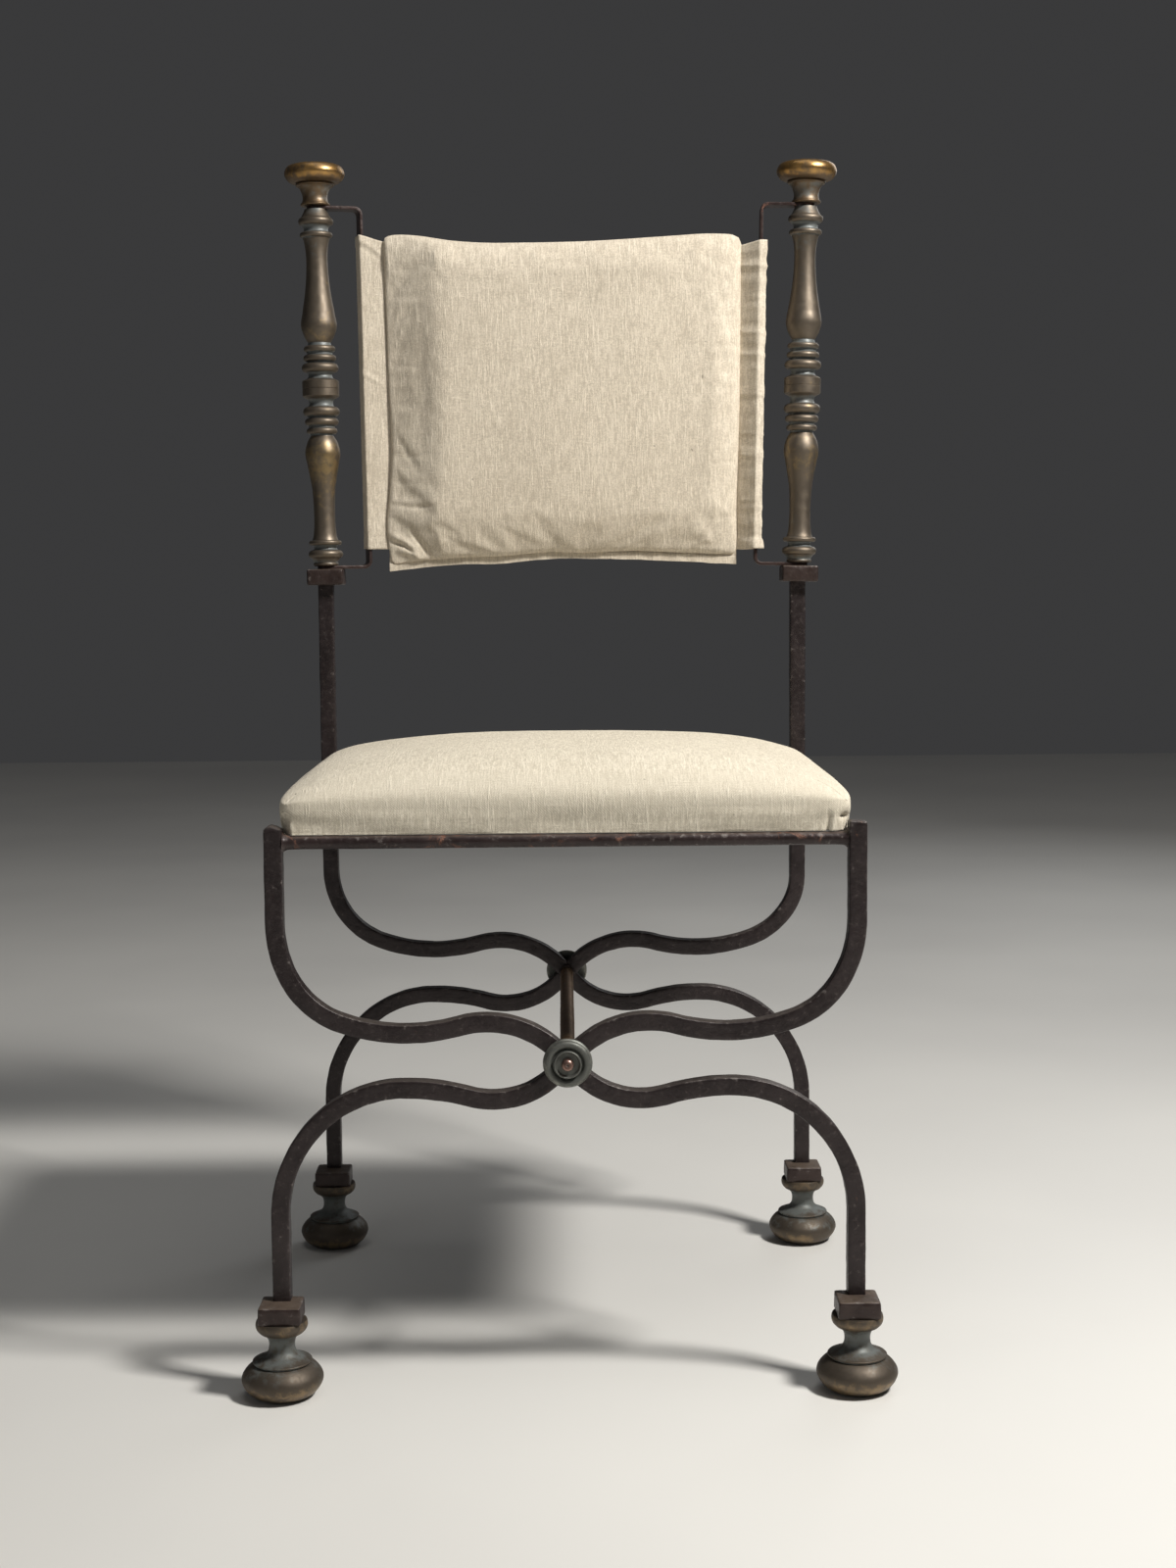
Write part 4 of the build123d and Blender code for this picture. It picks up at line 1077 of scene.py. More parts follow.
def build_board():
    """Plywood seat board, corners and edges rounded, vent holes left out of
    the covered face."""
    sec, nor, flag = rounded_rect(410.0, 370.0, 12.0, 26, 8)
    k = len(sec)
    rings = []
    for z, inset in ((449.4, 1.6), (449.7, 0.8), (450.4, 0.2), (451.6, 0.0), (455.3, 0.0), (459.0, 0.0), (460.2, 0.2), (460.9, 0.8), (461.2, 1.6)):
        p = np.column_stack([sec - nor * inset, np.full(k, z)])
        p[:, :2] += nor * (0.12 * vnoise(p / 9.0, 391))[:, None]
        rings.append(p)
    verts = [p for r in rings for p in r]
    faces = tube_faces(len(rings), k)
    cap(faces, verts, 0, k, True)
    cap(faces, verts, (len(rings) - 1) * k, k, False)
    return make_mesh("seat_board_cut", verts, faces, BOARD, "seat", sharp=40)


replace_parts(build_board(), "seat_board")


# ---------------------------------------------------------------- cloth tools
def coords_of(ob):
    a = np.zeros(len(ob.data.vertices) * 3)
    ob.data.vertices.foreach_get("co", a)
    return a.reshape(-1, 3)


def set_coords(ob, v):
    ob.data.vertices.foreach_set("co", np.asarray(v, np.float32).ravel())
    ob.data.update()


def apply_modifiers(ob):
    dg = bpy.context.evaluated_depsgraph_get()
    me = bpy.data.meshes.new_from_object(ob.evaluated_get(dg))
    old = ob.data
    ob.modifiers.clear()
    ob.data = me
    me.name = ob.name
    if old.users == 0:
        bpy.data.meshes.remove(old)


def puff(ob, pressure, frames, cap_m, pins=None, shrink=0.0, tension=15.0, bending=0.5, quality=6):
    """Runs Blender's cloth on the closed mesh and keeps the result, with no
    point further than cap_m from where it began."""
    rest = coords_of(ob)
    if pins is not None:
        g = ob.vertex_groups.new(name="pin")
        for w in np.unique(np.round(pins, 2)):
            if w > 0:
                g.add([int(i) for i in np.nonzero(np.round(pins, 2) == w)[0]], float(w), "REPLACE")
    mod = ob.modifiers.new("Cloth", "CLOTH")
    s = mod.settings
    s.quality = quality
    s.mass = 0.3
    s.tension_stiffness = s.compression_stiffness = tension
    s.shear_stiffness = 5.0
    s.bending_stiffness = bending
    s.air_damping = 1.5
    s.use_pressure = True
    s.uniform_pressure_force = pressure
    s.shrink_min = shrink
    s.effector_weights.gravity = 0.0
    if pins is not None:
        s.vertex_group_mass = "pin"
        s.pin_stiffness = 1.0
    mod.collision_settings.use_collision = False
    mod.point_cache.frame_start = 1
    mod.point_cache.frame_end = frames
    SCENE.frame_start, SCENE.frame_end = 1, frames
    for f in range(1, frames + 1):
        SCENE.frame_set(f)
    dg = bpy.context.evaluated_depsgraph_get()
    e = ob.evaluated_get(dg)
    me = e.to_mesh()
    a = np.zeros(len(me.vertices) * 3)
    me.vertices.foreach_get("co", a)
    e.to_mesh_clear()
    new = a.reshape(-1, 3)
    ob.modifiers.remove(mod)
    if pins is not None:
        ob.vertex_groups.clear()
    SCENE.frame_set(1)
    d = new - rest
    n = np.linalg.norm(d, axis=1)
    f = np.where(n > cap_m, cap_m / np.maximum(n, 1e-9), 1.0)
    set_coords(ob, rest + d * f[:, None])
    return rest


def remesh(ob, voxel):
    mod = ob.modifiers.new("Remesh", "REMESH")
    mod.mode = "VOXEL"
    mod.voxel_size = voxel
    apply_modifiers(ob)


def subdivide(ob, levels=1):
    mod = ob.modifiers.new("Subsurf", "SUBSURF")
    mod.levels = mod.render_levels = levels
    apply_modifiers(ob)


def point_normals(ob):
    n = np.zeros(len(ob.data.vertices) * 3)
    ob.data.vertices.foreach_get("normal", n)
    return n.reshape(-1, 3)


def smooth_all(ob):
    ob.data.shade_smooth()


def stitches(name, points, normals, material, body, slot, length=3.2, gap=2.0, radius=0.42, lift=0.15):
    """Short rounded stitches laid along a line of points (mm)."""
    pts = np.asarray(points, float)
    nor = np.asarray(normals, float)
    seg = np.linalg.norm(np.diff(pts, axis=0), axis=1)
    s = np.concatenate([[0], np.cumsum(seg)])
    verts, faces = [], []
    at = gap
    k = 6
    while at + length < s[-1]:
        line, nn = [], []
        for f in (0.0, 0.12, 0.35, 0.65, 0.88, 1.0):
            q = at + length * f
            line.append(np.array([np.interp(q, s, pts[:, i]) for i in range(3)]))
            nn.append(np.array([np.interp(q, s, nor[:, i]) for i in range(3)]))
        t = line[-1] - line[0]
        t = t / np.linalg.norm(t)
        start = len(verts)
        for f, p, n in zip((0.0, 0.12, 0.35, 0.65, 0.88, 1.0), line, nn):
            n = n / np.linalg.norm(n)
            b = np.cross(t, n)
            r = radius * (0.35 if f in (0.0, 1.0) else 0.85 if f in (0.12, 0.88) else 1.0)
            h = lift + radius * (-0.7 if f in (0.0, 1.0) else 0.1 if f in (0.12, 0.88) else 0.4)
            for j in range(k):
                a = 2 * math.pi * j / k
                verts.append(p + n * (h + r * math.sin(a)) + b * r * math.cos(a))
        faces += tube_faces(6, k, start=start)
        faces.append(tuple(range(start + k - 1, start - 1, -1)))
        faces.append(tuple(range(start + 5 * k, start + 6 * k)))
        at += length + gap
    return make_mesh(name, verts, faces, material, body)


# ---------------------------------------------------------------- seat pad
SEAT_Z0, SEAT_EDGE, SEAT_RISE, SEAT_W, SEAT_D = 448.3, 472.0, 36.4, 221.5, 200.5


def plan_square(n_side=68):
    """Points round the square |x|, |y| <= 1, closer together at its corners,
    anticlockwise from the front right corner."""
    t = np.linspace(0, 1, n_side, endpoint=False)
    t = 0.5 - 0.5 * np.cos(math.pi * t) * (0.72 + 0.28 * np.abs(np.cos(math.pi * t)))
    t = np.clip(t, 0, 1)
    one = np.ones(n_side)
    sides = [(one, 2 * t - 1), (1 - 2 * t, one), (-one, 1 - 2 * t), (2 * t - 1, -one)]
    return np.vstack([np.column_stack(q) for q in sides])


def clear_of_posts(v, gap):
    """Moves points out of the rear posts and the front leg tops (mm)."""
    v = v.copy()
    for sx in (-1, 1):
        # rear post, full height
        lim_x, lim_y = POST_X[sx] - HALF - gap, FRAME_Y - HALF - gap
        inside = (v[:, 0] * sx > lim_x) & (v[:, 1] > lim_y)
        dx = v[:, 0] * sx - lim_x
        dy = v[:, 1] - lim_y
        use_x = inside & (dx <= dy)
        use_y = inside & (dx > dy)
        v[use_x, 0] -= sx * dx[use_x]
        v[use_y, 1] -= dy[use_y]
        # front leg top
        lim_x, lim_y = FRONT_TOP_X - HALF - gap, -(FRAME_Y - HALF - gap)
        dz = LEG_TOP_Z + gap - v[:, 2]
        inside = (v[:, 0] * sx > lim_x) & (v[:, 1] < lim_y) & (dz > 0)
        dx = v[:, 0] * sx - lim_x
        dy = lim_y - v[:, 1]
        use_z = inside & (dz < dx) & (dz < dy)
        use_x = inside & ~use_z & (dx <= dy)
        use_y = inside & ~use_z & (dx > dy)
        v[use_z, 2] += dz[use_z]
        v[use_x, 0] -= sx * dx[use_x]
        v[use_y, 1] += dy[use_y]
    return v


def build_seat():
    sq = plan_square()
    k = len(sq)

    def ring(m, z, n=24.0, inset_x=0.0, inset_y=0.0):
        """Square ring of half size m, rounded to a superellipse."""
        x, y = sq[:, 0] * m, sq[:, 1] * m
        rad = (np.abs(sq[:, 0]) ** n + np.abs(sq[:, 1]) ** n) ** (1 / n)
        return np.column_stack([(SEAT_W - inset_x) * x / rad, (SEAT_D - inset_y) * y / rad, np.full(k, z)])

    def dome(m):
        x, y = np.abs(sq[:, 0]) * m, np.abs(sq[:, 1]) * m
        g = np.clip(1 - x ** 2.763, 0, 1) ** 0.432 * np.clip(1 - y ** 3.6, 0, 1) ** 0.42
        return SEAT_EDGE + SEAT_RISE * g

    rings = []
    for m_ in (0.12, 0.4, 0.66, 0.84, 0.93, 0.972):
        rings.append(ring(m_, SEAT_Z0 + 0.1, 60.0, 4.2, 4.9))
    # the side, from the edge over the rail up to the widest line
    for z, n, ix, iy in (
        (448.3, 60.0, 4.2, 4.9), (448.7, 60.0, 3.9, 4.5), (449.8, 60.0, 3.6, 4.3), (451.6, 60.0, 3.2, 4.1), (454.0, 56.0, 2.7, 3.6),
        (456.6, 50.0, 2.1, 3.0), (459.4, 44.0, 1.5, 2.3), (462.2, 38.0, 0.9, 1.5), (465.0, 33.0, 0.4, 0.8), (468.0, 29.0, 0.1, 0.25), (470.3, 27.0, 0.0, 0.0),
    ):
        rings.append(ring(1.0, z, n, ix, iy))
    for d in (0.0, 0.0008, 0.0025, 0.005, 0.0085, 0.013, 0.019, 0.026, 0.035, 0.046, 0.060, 0.077, 0.098, 0.122, 0.150, 0.183, 0.222, 0.267, 0.32, 0.38, 0.45, 0.53, 0.62, 0.72, 0.82, 0.91):
        q = ring(1.0 - d, 0.0, 26.0)
        # height by the place a point has come to, so that no hip line forms
        gx, gy = np.abs(q[:, 0]) / SEAT_W, np.abs(q[:, 1]) / SEAT_D
        here = SEAT_EDGE + SEAT_RISE * np.clip(1 - gx ** 2.763, 0, 1) ** 0.432 * np.clip(1 - gy ** 3.6, 0, 1) ** 0.42
        f = float(smoothstep(d, 0.0, 0.07))
        q[:, 2] = (1 - f) * dome(1.0 - d) + f * here
        rings.append(q)
    v = np.array([p for r in rings for p in r]).reshape(-1, 3)
    # the front corners draw in towards the rail, inside the leg tops
    over = np.clip(np.abs(v[:, 0]) - v[:, 1] - 408.0, 0, 30) * smoothstep(468.0 - v[:, 2], 0.0, 9.0)
    v[:, 0] -= np.sign(v[:, 0]) * 0.5 * over
    v[:, 1] += 0.5 * over
    # away from the corners the sides reach out over the side rails
    reach = smoothstep(184.0 - np.abs(v[:, 1]), 0.0, 16.0) * smoothstep(467.0 - v[:, 2], 0.0, 5.0)
    side = (np.abs(v[:, 0]) > 200.0) & (v[:, 2] < 468.0)
    out_x = np.minimum(np.abs(v[:, 0]) + 3.6 * reach, np.maximum(np.abs(v[:, 0]), 221.2))
    v[side, 0] = (np.sign(v[:, 0]) * out_x)[side]
    verts = [p for p in v]
    faces = tube_faces(len(rings), k)
    cap(faces, verts, 0, k, True)
    cap(faces, verts, (len(rings) - 1) * k, k, False)
    v = np.array(verts)
    flat = (v[:, 2] > 500.0) & (np.maximum(np.abs(v[:, 0]) / SEAT_W, np.abs(v[:, 1]) / SEAT_D) < 0.11)
    v[flat, 2] = SEAT_EDGE + SEAT_RISE
    v = clear_of_posts(v, 0.9)
    ob = make_mesh("seat_pad", v, faces, LINEN_SEAT, None)
    # the cover pulls taut over the stuffing and wrinkles a little
    rest = coords_of(ob)
    pins = np.where(rest[:, 2] / MM < SEAT_Z0 + 2.2, 1.0, 0.0)
    puff(ob, 2.0, 10, 0.004, pins=pins, tension=20.0, bending=0.8, shrink=-0.004, quality=4)
    nrm = point_normals(ob)
    d = ((coords_of(ob) - rest) * nrm).sum(1) / MM
    d = np.clip(d - np.median(d[pins < 0.5]), -0.7, 0.7)
    # evened out round each ring, so that no crease runs up the corners
    g = d[: len(rings) * k].reshape(len(rings), k)
    for _ in range(6):
        g = 0.5 * g + 0.25 * (np.roll(g, 1, axis=1) + np.roll(g, -1, axis=1))
    d[: len(rings) * k] = g.reshape(-1)
    d *= 1 - 0.6 * smoothstep(rest[:, 2] / MM, 484.0, 500.0)
    set_coords(ob, rest + nrm * (d * MM)[:, None])
    subdivide(ob, 1)
    co = coords_of(ob) / MM
    side_f = smoothstep(470.0 - co[:, 2], 0.0, 12.0)
    # slack cloth along the lower side: shallow uneven swags between tacks
    nrm = point_normals(ob)
    swag = 0.70 * vnoise(co / np.array([34.0, 34.0, 22.0]), 411) + 0.30 * vnoise(co / np.array([12.0, 12.0, 15.0]), 412)
    top_f = smoothstep(co[:, 2], 470.0, 492.0)
    dent = (0.7 * vnoise(co / np.array([70.0, 60.0, 60.0]), 413) + 0.18 * vnoise(co / np.array([16.0, 16.0, 16.0]), 414)) * top_f
    lift = np.where(co[:, 2] > SEAT_Z0 + 1.5, swag * side_f * 0.8 + dent, 0.0)
    # the cover's own thickness over the drawn crown
    co = co + nrm * lift[:, None]
    # pleats folded round the front corners: a lip, then the tuck behind it
    for sx, at_x, depth in ((-1, 215.0, 0.0), (1, 203.5, 1.0)):
        px_ = co[:, 0] * sx
        low = smoothstep(467.0 - co[:, 2], 0.0, 8.0) * smoothstep(-co[:, 1], 186.0, 195.0)
        if sx < 0:
            # the left corner is turned under behind a crisp fold
            turn = px_ + 0.22 * np.clip(466.0 - co[:, 2], 0.0, 18.0)
            co[:, 1] += low * (3.0 * np.exp(-(((turn - 218.5) / 2.8) ** 2)) - 0.5 * np.exp(-(((turn - 213.2) / 1.5) ** 2)))
        at = px_ - (at_x - 1.5 * smoothstep(464.0 - co[:, 2], 0.0, 16.0))
        lip = np.exp(-((at - 1.6) / 1.5) ** 2) * 1.0
        groove = np.exp(-((at + 1.0) / 1.3) ** 2) * -2.2
        co[:, 1] -= depth * low * (lip + groove)
        # the slit where the fold turns under, over the leg top
        slit = np.exp(-(((px_ - 214.0) / 3.2) ** 2) - ((co[:, 2] - 459.5) / 1.6) ** 2) * smoothstep(-co[:, 1], 170.0, 190.0)
        co[:, 1] += depth * 3.2 * slit
        co[:, 0] -= depth * sx * 2.0 * slit
    co = clear_of_posts(co, 0.8)
    co[:, 2] = np.maximum(co[:, 2], SEAT_Z0 - 0.1)
    # the front edge rolls down a little over the rail
    tuck = smoothstep(-co[:, 1], 194.0, 195.4) * smoothstep(214.0 - np.abs(co[:, 0]), 0.0, 5.0)
    down = 0.55 * tuck * smoothstep(451.5 - co[:, 2], 0.0, 2.8)
    co[:, 1] -= 1.2 * tuck * smoothstep(459.5 - co[:, 2], 0.0, 10.5)
    co[:, 2] -= down
    set_coords(ob, co * MM)
    smooth_all(ob)
    return ob


seat = build_seat()
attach(seat, "seat")
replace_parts(seat, "seat_cover", "seat_stuffing")


# dust cloth under the seat, its edge folded in and tacked
def build_dust_cloth():
    w, d, n = 197.0, 179.0, 70
    xs = np.linspace(-w, w, n)
    ys = np.linspace(-d, d, n)
    verts, faces = [], []
    for layer in (0, 1):
        for j, y in enumerate(ys):
            for i, x in enumerate(xs):
                e = min(w - abs(x), d - abs(y))
                fold = 0.25 * smoothstep(9.0 - e, -1.5, 1.5)
                z = SEAT_Z0 - 0.05 if layer == 0 else SEAT_Z0 - 0.42 - fold
                verts.append((x, y, z))
    v = np.array(verts)
    low = v[:, 2] < SEAT_Z0 - 0.2
    v[low, 2] += 0.10 * vnoise(v[low] / np.array([22.0, 30.0, 1.0]), 401)
    idx = lambda l, j, i: l * n * n + j * n + i
    for j in range(n - 1):
        for i in range(n - 1):
            faces.append((idx(0, j, i), idx(0, j, i + 1), idx(0, j + 1, i + 1), idx(0, j + 1, i)))
            faces.append((idx(1, j, i), idx(1, j + 1, i), idx(1, j + 1, i + 1), idx(1, j, i + 1)))
    for i in range(n - 1):
        faces.append((idx(0, 0, i + 1), idx(0, 0, i), idx(1, 0, i), idx(1, 0, i + 1)))
        faces.append((idx(0, n - 1, i), idx(0, n - 1, i + 1), idx(1, n - 1, i + 1), idx(1, n - 1, i)))
        faces.append((idx(0, i, 0), idx(0, i + 1, 0), idx(1, i + 1, 0), idx(1, i, 0)))
        faces.append((idx(0, i + 1, n - 1), idx(0, i, n - 1), idx(1, i, n - 1), idx(1, i + 1, n - 1)))
    return make_mesh("seat_dust_cloth_tacked", v, faces, CAMBRIC, "seat", sharp=40)


dust = build_dust_cloth()
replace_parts(dust, "seat_dust_cloth")


# ---------------------------------------------------------------- linen back
BACK_Y = 201.0


def curve(points):
    xs, ys = np.array([p[0] for p in points], float), np.array([p[1] for p in points], float)

    def f(t):
        t = np.asarray(t, float)
        i = np.clip(np.searchsorted(xs, t) - 1, 0, len(xs) - 2)
        m_ = np.gradient(ys, xs)
        h = xs[i + 1] - xs[i]
        u = np.clip((t - xs[i]) / h, 0, 1)
        return (
            (2 * u**3 - 3 * u**2 + 1) * ys[i]
            + (u**3 - 2 * u**2 + u) * h * m_[i]
            + (-2 * u**3 + 3 * u**2) * ys[i + 1]
            + (u**3 - u**2) * h * m_[i + 1]
        )

    return f


edge_left = curve([(0.0, -160.4), (0.05, -163.6), (0.112, -165.2), (0.232, -162.2), (0.367, -159.8), (0.472, -160.9), (0.695, -162.5), (0.917, -164.1), (1.0, -164.6)])
edge_right = curve([(0.0, 163.0), (0.06, 163.4), (0.16, 163.4), (0.31, 165.0), (0.47, 166.4), (0.70, 167.3), (0.93, 168.3), (1.0, 168.8)])
edge_bottom = curve([(0.0, 657.4), (0.08, 660.5), (0.19, 663.0), (0.33, 664.6), (0.465, 667.8), (0.55, 667.0), (0.69, 668.4), (0.825, 666.9), (1.0, 664.6)])
edge_top = curve([(0.0, 960.2), (0.04, 961.8), (0.09, 961.0), (0.19, 956.2), (0.26, 954.4), (0.406, 954.0), (0.57, 955.0), (0.787, 959.0), (0.91, 961.2), (1.0, 960.0)])


def fold(co, line, reach, out, side=0.0):
    """Push along -Y beside a line of (x, z) points: out is positive for a
    ridge, negative for a furrow. side makes one flank steeper."""
    best = np.full(len(co), 1e9)
    sign = np.zeros(len(co))
    along = np.zeros(len(co))
    line = [np.array(p, float) for p in line]
    total = sum(np.linalg.norm(b - a) for a, b in zip(line, line[1:]))
    done = 0.0
    p = co[:, [0, 2]]
    for a, b in zip(line, line[1:]):
        ab = b - a
        n = np.linalg.norm(ab)
        t = np.clip(((p - a) @ ab) / n**2, 0, 1)
        q = a + t[:, None] * ab
        d = np.linalg.norm(p - q, axis=1)
        s_ = np.sign((p[:, 0] - q[:, 0]) * -ab[1] + (p[:, 1] - q[:, 1]) * ab[0])
        closer = d < best
        best = np.where(closer, d, best)
        sign = np.where(closer, s_, sign)
        along = np.where(closer, (done + t * n) / total, along)
        done += n
    w = reach * (1 + side * sign)
    ends = 0.35 + 0.65 * np.sin(math.pi * np.clip(along, 0.03, 0.97)) ** 0.7
    return out * np.exp(-((best / w) ** 2)) * ends


def build_cushion():
    n, mv = 100, 92

    def spaced(count):
        t = np.linspace(0, 1, count)
        return 0.5 * t + 0.5 * (0.5 - 0.5 * np.cos(math.pi * t))

    u, w = spaced(n), spaced(mv)
    U, W = np.meshgrid(u, w)
    X = edge_left(W) * (1 - U) + edge_right(W) * U
    Z = edge_bottom(U) * (1 - W) + edge_top(U) * W
    # plan corners: r is larger at the top right
    for cu, cw, r in ((0, 0, 4.0), (1, 0, 6.0), (0, 1, 5.0), (1, 1, 10.0)):
        du = np.abs(U - cu) * 330.0
        dw = np.abs(W - cw) * 300.0
        k_ = np.clip(1 - du / r, 0, 1) * np.clip(1 - dw / r, 0, 1)
        X = X + (1 if cu == 0 else -1) * 0.30 * r * k_
        Z = Z + (1 if cw == 0 else -1) * 0.30 * r * k_

    def roll(e, reach, p):
        return (1 - (1 - np.clip(e / reach, 0, 1)) ** 2) ** p

    def crowned(e, reach):
        return 0.80 * roll(e, reach, 0.6) + 0.20 * roll(e, 125.0, 0.9)

    el, er = U * 329.0, (1 - U) * 329.0
    eb, et = W * 296.0, (1 - W) * 296.0
    slope = np.clip(el / 50.0, 0, 1) ** 1.12
    slope = slope * (1 - smoothstep(el, 34.0, 60.0)) + smoothstep(el, 34.0, 60.0)
    near_top = smoothstep(et, 4.0, 46.0)
    left = roll(el, 5.0, 0.6) * (0.09 + 0.20 * (1 - near_top)) + (0.91 - 0.20 * (1 - near_top)) * slope
    loft = left * crowned(er, 26.0) * crowned(et, 28.0) * (0.16 * roll(eb, 5.0, 0.6) + 0.64 * roll(eb, 50.0, 0.85) + 0.20 * roll(eb, 130.0, 0.9))
    depth = 20.0 * loft * (0.92 + 0.08 * (1 - (2 * U - 1) ** 2) * (1 - (2 * W - 1) ** 2))
    front = np.stack([X, 198.9 - depth, Z], -1).reshape(-1, 3)
    rear = np.stack([X * 0.985, np.full(X.shape, 199.7), Z + (0.5 - W) * 3.0], -1).reshape(-1, 3)
    verts = np.concatenate([front, rear])
    faces = []
    idx = lambda l, j, i: l * n * mv + j * n + i
    for j in range(mv - 1):
        for i in range(n - 1):
            faces.append((idx(0, j, i), idx(0, j, i + 1), idx(0, j + 1, i + 1), idx(0, j + 1, i)))
            faces.append((idx(1, j, i), idx(1, j + 1, i), idx(1, j + 1, i + 1), idx(1, j, i + 1)))
    for i in range(n - 1):
        faces.append((idx(0, 0, i + 1), idx(0, 0, i), idx(1, 0, i), idx(1, 0, i + 1)))
        faces.append((idx(0, mv - 1, i), idx(0, mv - 1, i + 1), idx(1, mv - 1, i + 1), idx(1, mv - 1, i)))
    for j in range(mv - 1):
        faces.append((idx(0, j, 0), idx(0, j + 1, 0), idx(1, j + 1, 0), idx(1, j, 0)))
        faces.append((idx(0, j + 1, n - 1), idx(0, j, n - 1), idx(1, j, n - 1), idx(1, j + 1, n - 1)))
    ob = make_mesh("back_cushion_stuffed", verts, faces, LINEN_BACK, None)
    nf = n * mv
    e = np.minimum(np.minimum(el, er), np.minimum(eb, et)).reshape(-1)
    rest = coords_of(ob)
    pins = np.zeros(len(verts))
    pins[nf:] = 1.0
    pins[:nf] = np.where(e < 0.4, 1.0, 0.0)
    puff(ob, 1.2, 13, 0.006, pins=pins, shrink=-0.016, tension=12.0, bending=0.3, quality=5)
    moved = coords_of(ob)
    # the wrinkles are kept and the overall swelling is left out
    d = np.zeros_like(rest)
    g = ((moved - rest)[:nf] / MM).reshape(mv, n, 3)
    soft = g.copy()
    for _ in range(16):
        pad = np.pad(soft, ((1, 1), (1, 1), (0, 0)), mode="edge")
        soft = 0.2 * (pad[1:-1, 1:-1] + pad[:-2, 1:-1] + pad[2:, 1:-1] + pad[1:-1, :-2] + pad[1:-1, 2:])
    keep = smoothstep(e, 0.0, 12.0) * (1 - 0.7 * smoothstep(e, 18.0, 80.0))
    d[:nf] = np.clip(1.1 * (g - soft).reshape(-1, 3), -0.8, 0.8) * keep[:, None]
    d[:, [0, 2]] *= 0.4
    set_coords(ob, rest + d * MM)
    subdivide(ob, 1)
    co = coords_of(ob) / MM
    face = smoothstep(198.6 - co[:, 1], 0.0, 2.0)
    y = np.zeros(len(co))
    # folds where the filling stops short of the lower left corner
    y += fold(co, [(-163.0, 686.5), (-150.0, 679.6), (-141.0, 672.3), (-136.6, 663.2)], 3.6, 2.0)
    y += fold(co, [(-161.5, 671.4), (-148.3, 669.5), (-138.4, 666.7), (-131.0, 661.3)], 3.0, 1.6)
    y += fold(co, [(-161.0, 679.3), (-148.3, 674.9), (-140.2, 668.5)], 2.0, -2.6, 0.25)
    y += fold(co, [(-141.5, 688.0), (-131.9, 675.8), (-124.0, 663.9)], 2.6, -2.2, 0.2)
    y += fold(co, [(-158.6, 713.1), (-140.5, 710.3), (-122.2, 711.1)], 1.8, -1.3, 0.3)
    y += fold(co, [(-157.6, 717.1), (-140.5, 714.8), (-124.2, 715.4)], 3.4, 0.9)
    # short pulls along the right edge
    for z, a in ((885.0, 0.6), (871.0, 0.5), (858.0, 0.7), (845.0, 0.45), (833.0, 0.6), (819.0, 0.5), (751.0, 0.8), (700.0, 0.6)):
        y += fold(co, [(138.0, z - 3.0), (152.0, z - 1.0), (166.0, z)], 2.4, -a, 0.3)
    for z, a in ((930.0, 0.4), (905.0, 0.5), (842.0, 0.5), (760.0, 0.6), (735.0, 0.6)):
        y += fold(co, [(-162.0, z), (-148.0, z - 2.0), (-130.0, z - 3.0)], 3.0, -a, 0.3)
    # gathers over the lower and upper edges
    low = np.exp(-np.clip(co[:, 2] - 663.0, 0, 200) / 9.0)
    y += 0.9 * low * vnoise(co / np.array([11.0, 50.0, 26.0]), 531)
    y += 0.5 * np.exp(-np.clip(958.0 - co[:, 2], 0, 200) / 9.0) * vnoise(co / np.array([15.0, 50.0, 20.0]), 532)
    y += 0.8 * vnoise(co / np.array([80.0, 60.0, 70.0]), 533) + 0.16 * vnoise(co / np.array([17.0, 60.0, 17.0]), 534)
    co[:, 1] -= y * face
    co[:, 1] = np.clip(co[:, 1], 172.0, 199.8)
    set_coords(ob, co * MM)
    smooth_all(ob)
    return ob


cushion = build_cushion()
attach(cushion, "back")
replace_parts(cushion, "back_cushion")


def sheet_grid(name, X, Y0, Y1, Z, material, body):
    """Closed thin sheet from two surfaces over the same grid."""
    mv, n = X.shape
    verts = np.concatenate([np.stack([X, Y0, Z], -1).reshape(-1, 3), np.stack([X, Y1, Z], -1).reshape(-1, 3)])
    idx = lambda l, j, i: l * n * mv + j * n + i
    faces = []
    for j in range(mv - 1):
        for i in range(n - 1):
            faces.append((idx(0, j, i), idx(0, j, i + 1), idx(0, j + 1, i + 1), idx(0, j + 1, i)))
            faces.append((idx(1, j, i), idx(1, j + 1, i), idx(1, j + 1, i + 1), idx(1, j, i + 1)))
    for i in range(n - 1):
        faces.append((idx(0, 0, i + 1), idx(0, 0, i), idx(1, 0, i), idx(1, 0, i + 1)))
        faces.append((idx(0, mv - 1, i), idx(0, mv - 1, i + 1), idx(1, mv - 1, i + 1), idx(1, mv - 1, i)))
    for j in range(mv - 1):
        faces.append((idx(0, j, 0), idx(0, j + 1, 0), idx(1, j + 1, 0), idx(1, j, 0)))
        faces.append((idx(0, j + 1, n - 1), idx(0, j, n - 1), idx(1, j, n - 1), idx(1, j + 1, n - 1)))
    return make_mesh(name, verts, faces, material, body, sharp=50)


panel_bottom = curve([(0.0, 651.6), (0.09, 654.6), (0.204, 657.3), (0.345, 658.6), (0.487, 662.4), (0.572, 661.6), (0.685, 661.2), (0.855, 658.7), (1.0, 656.0)])


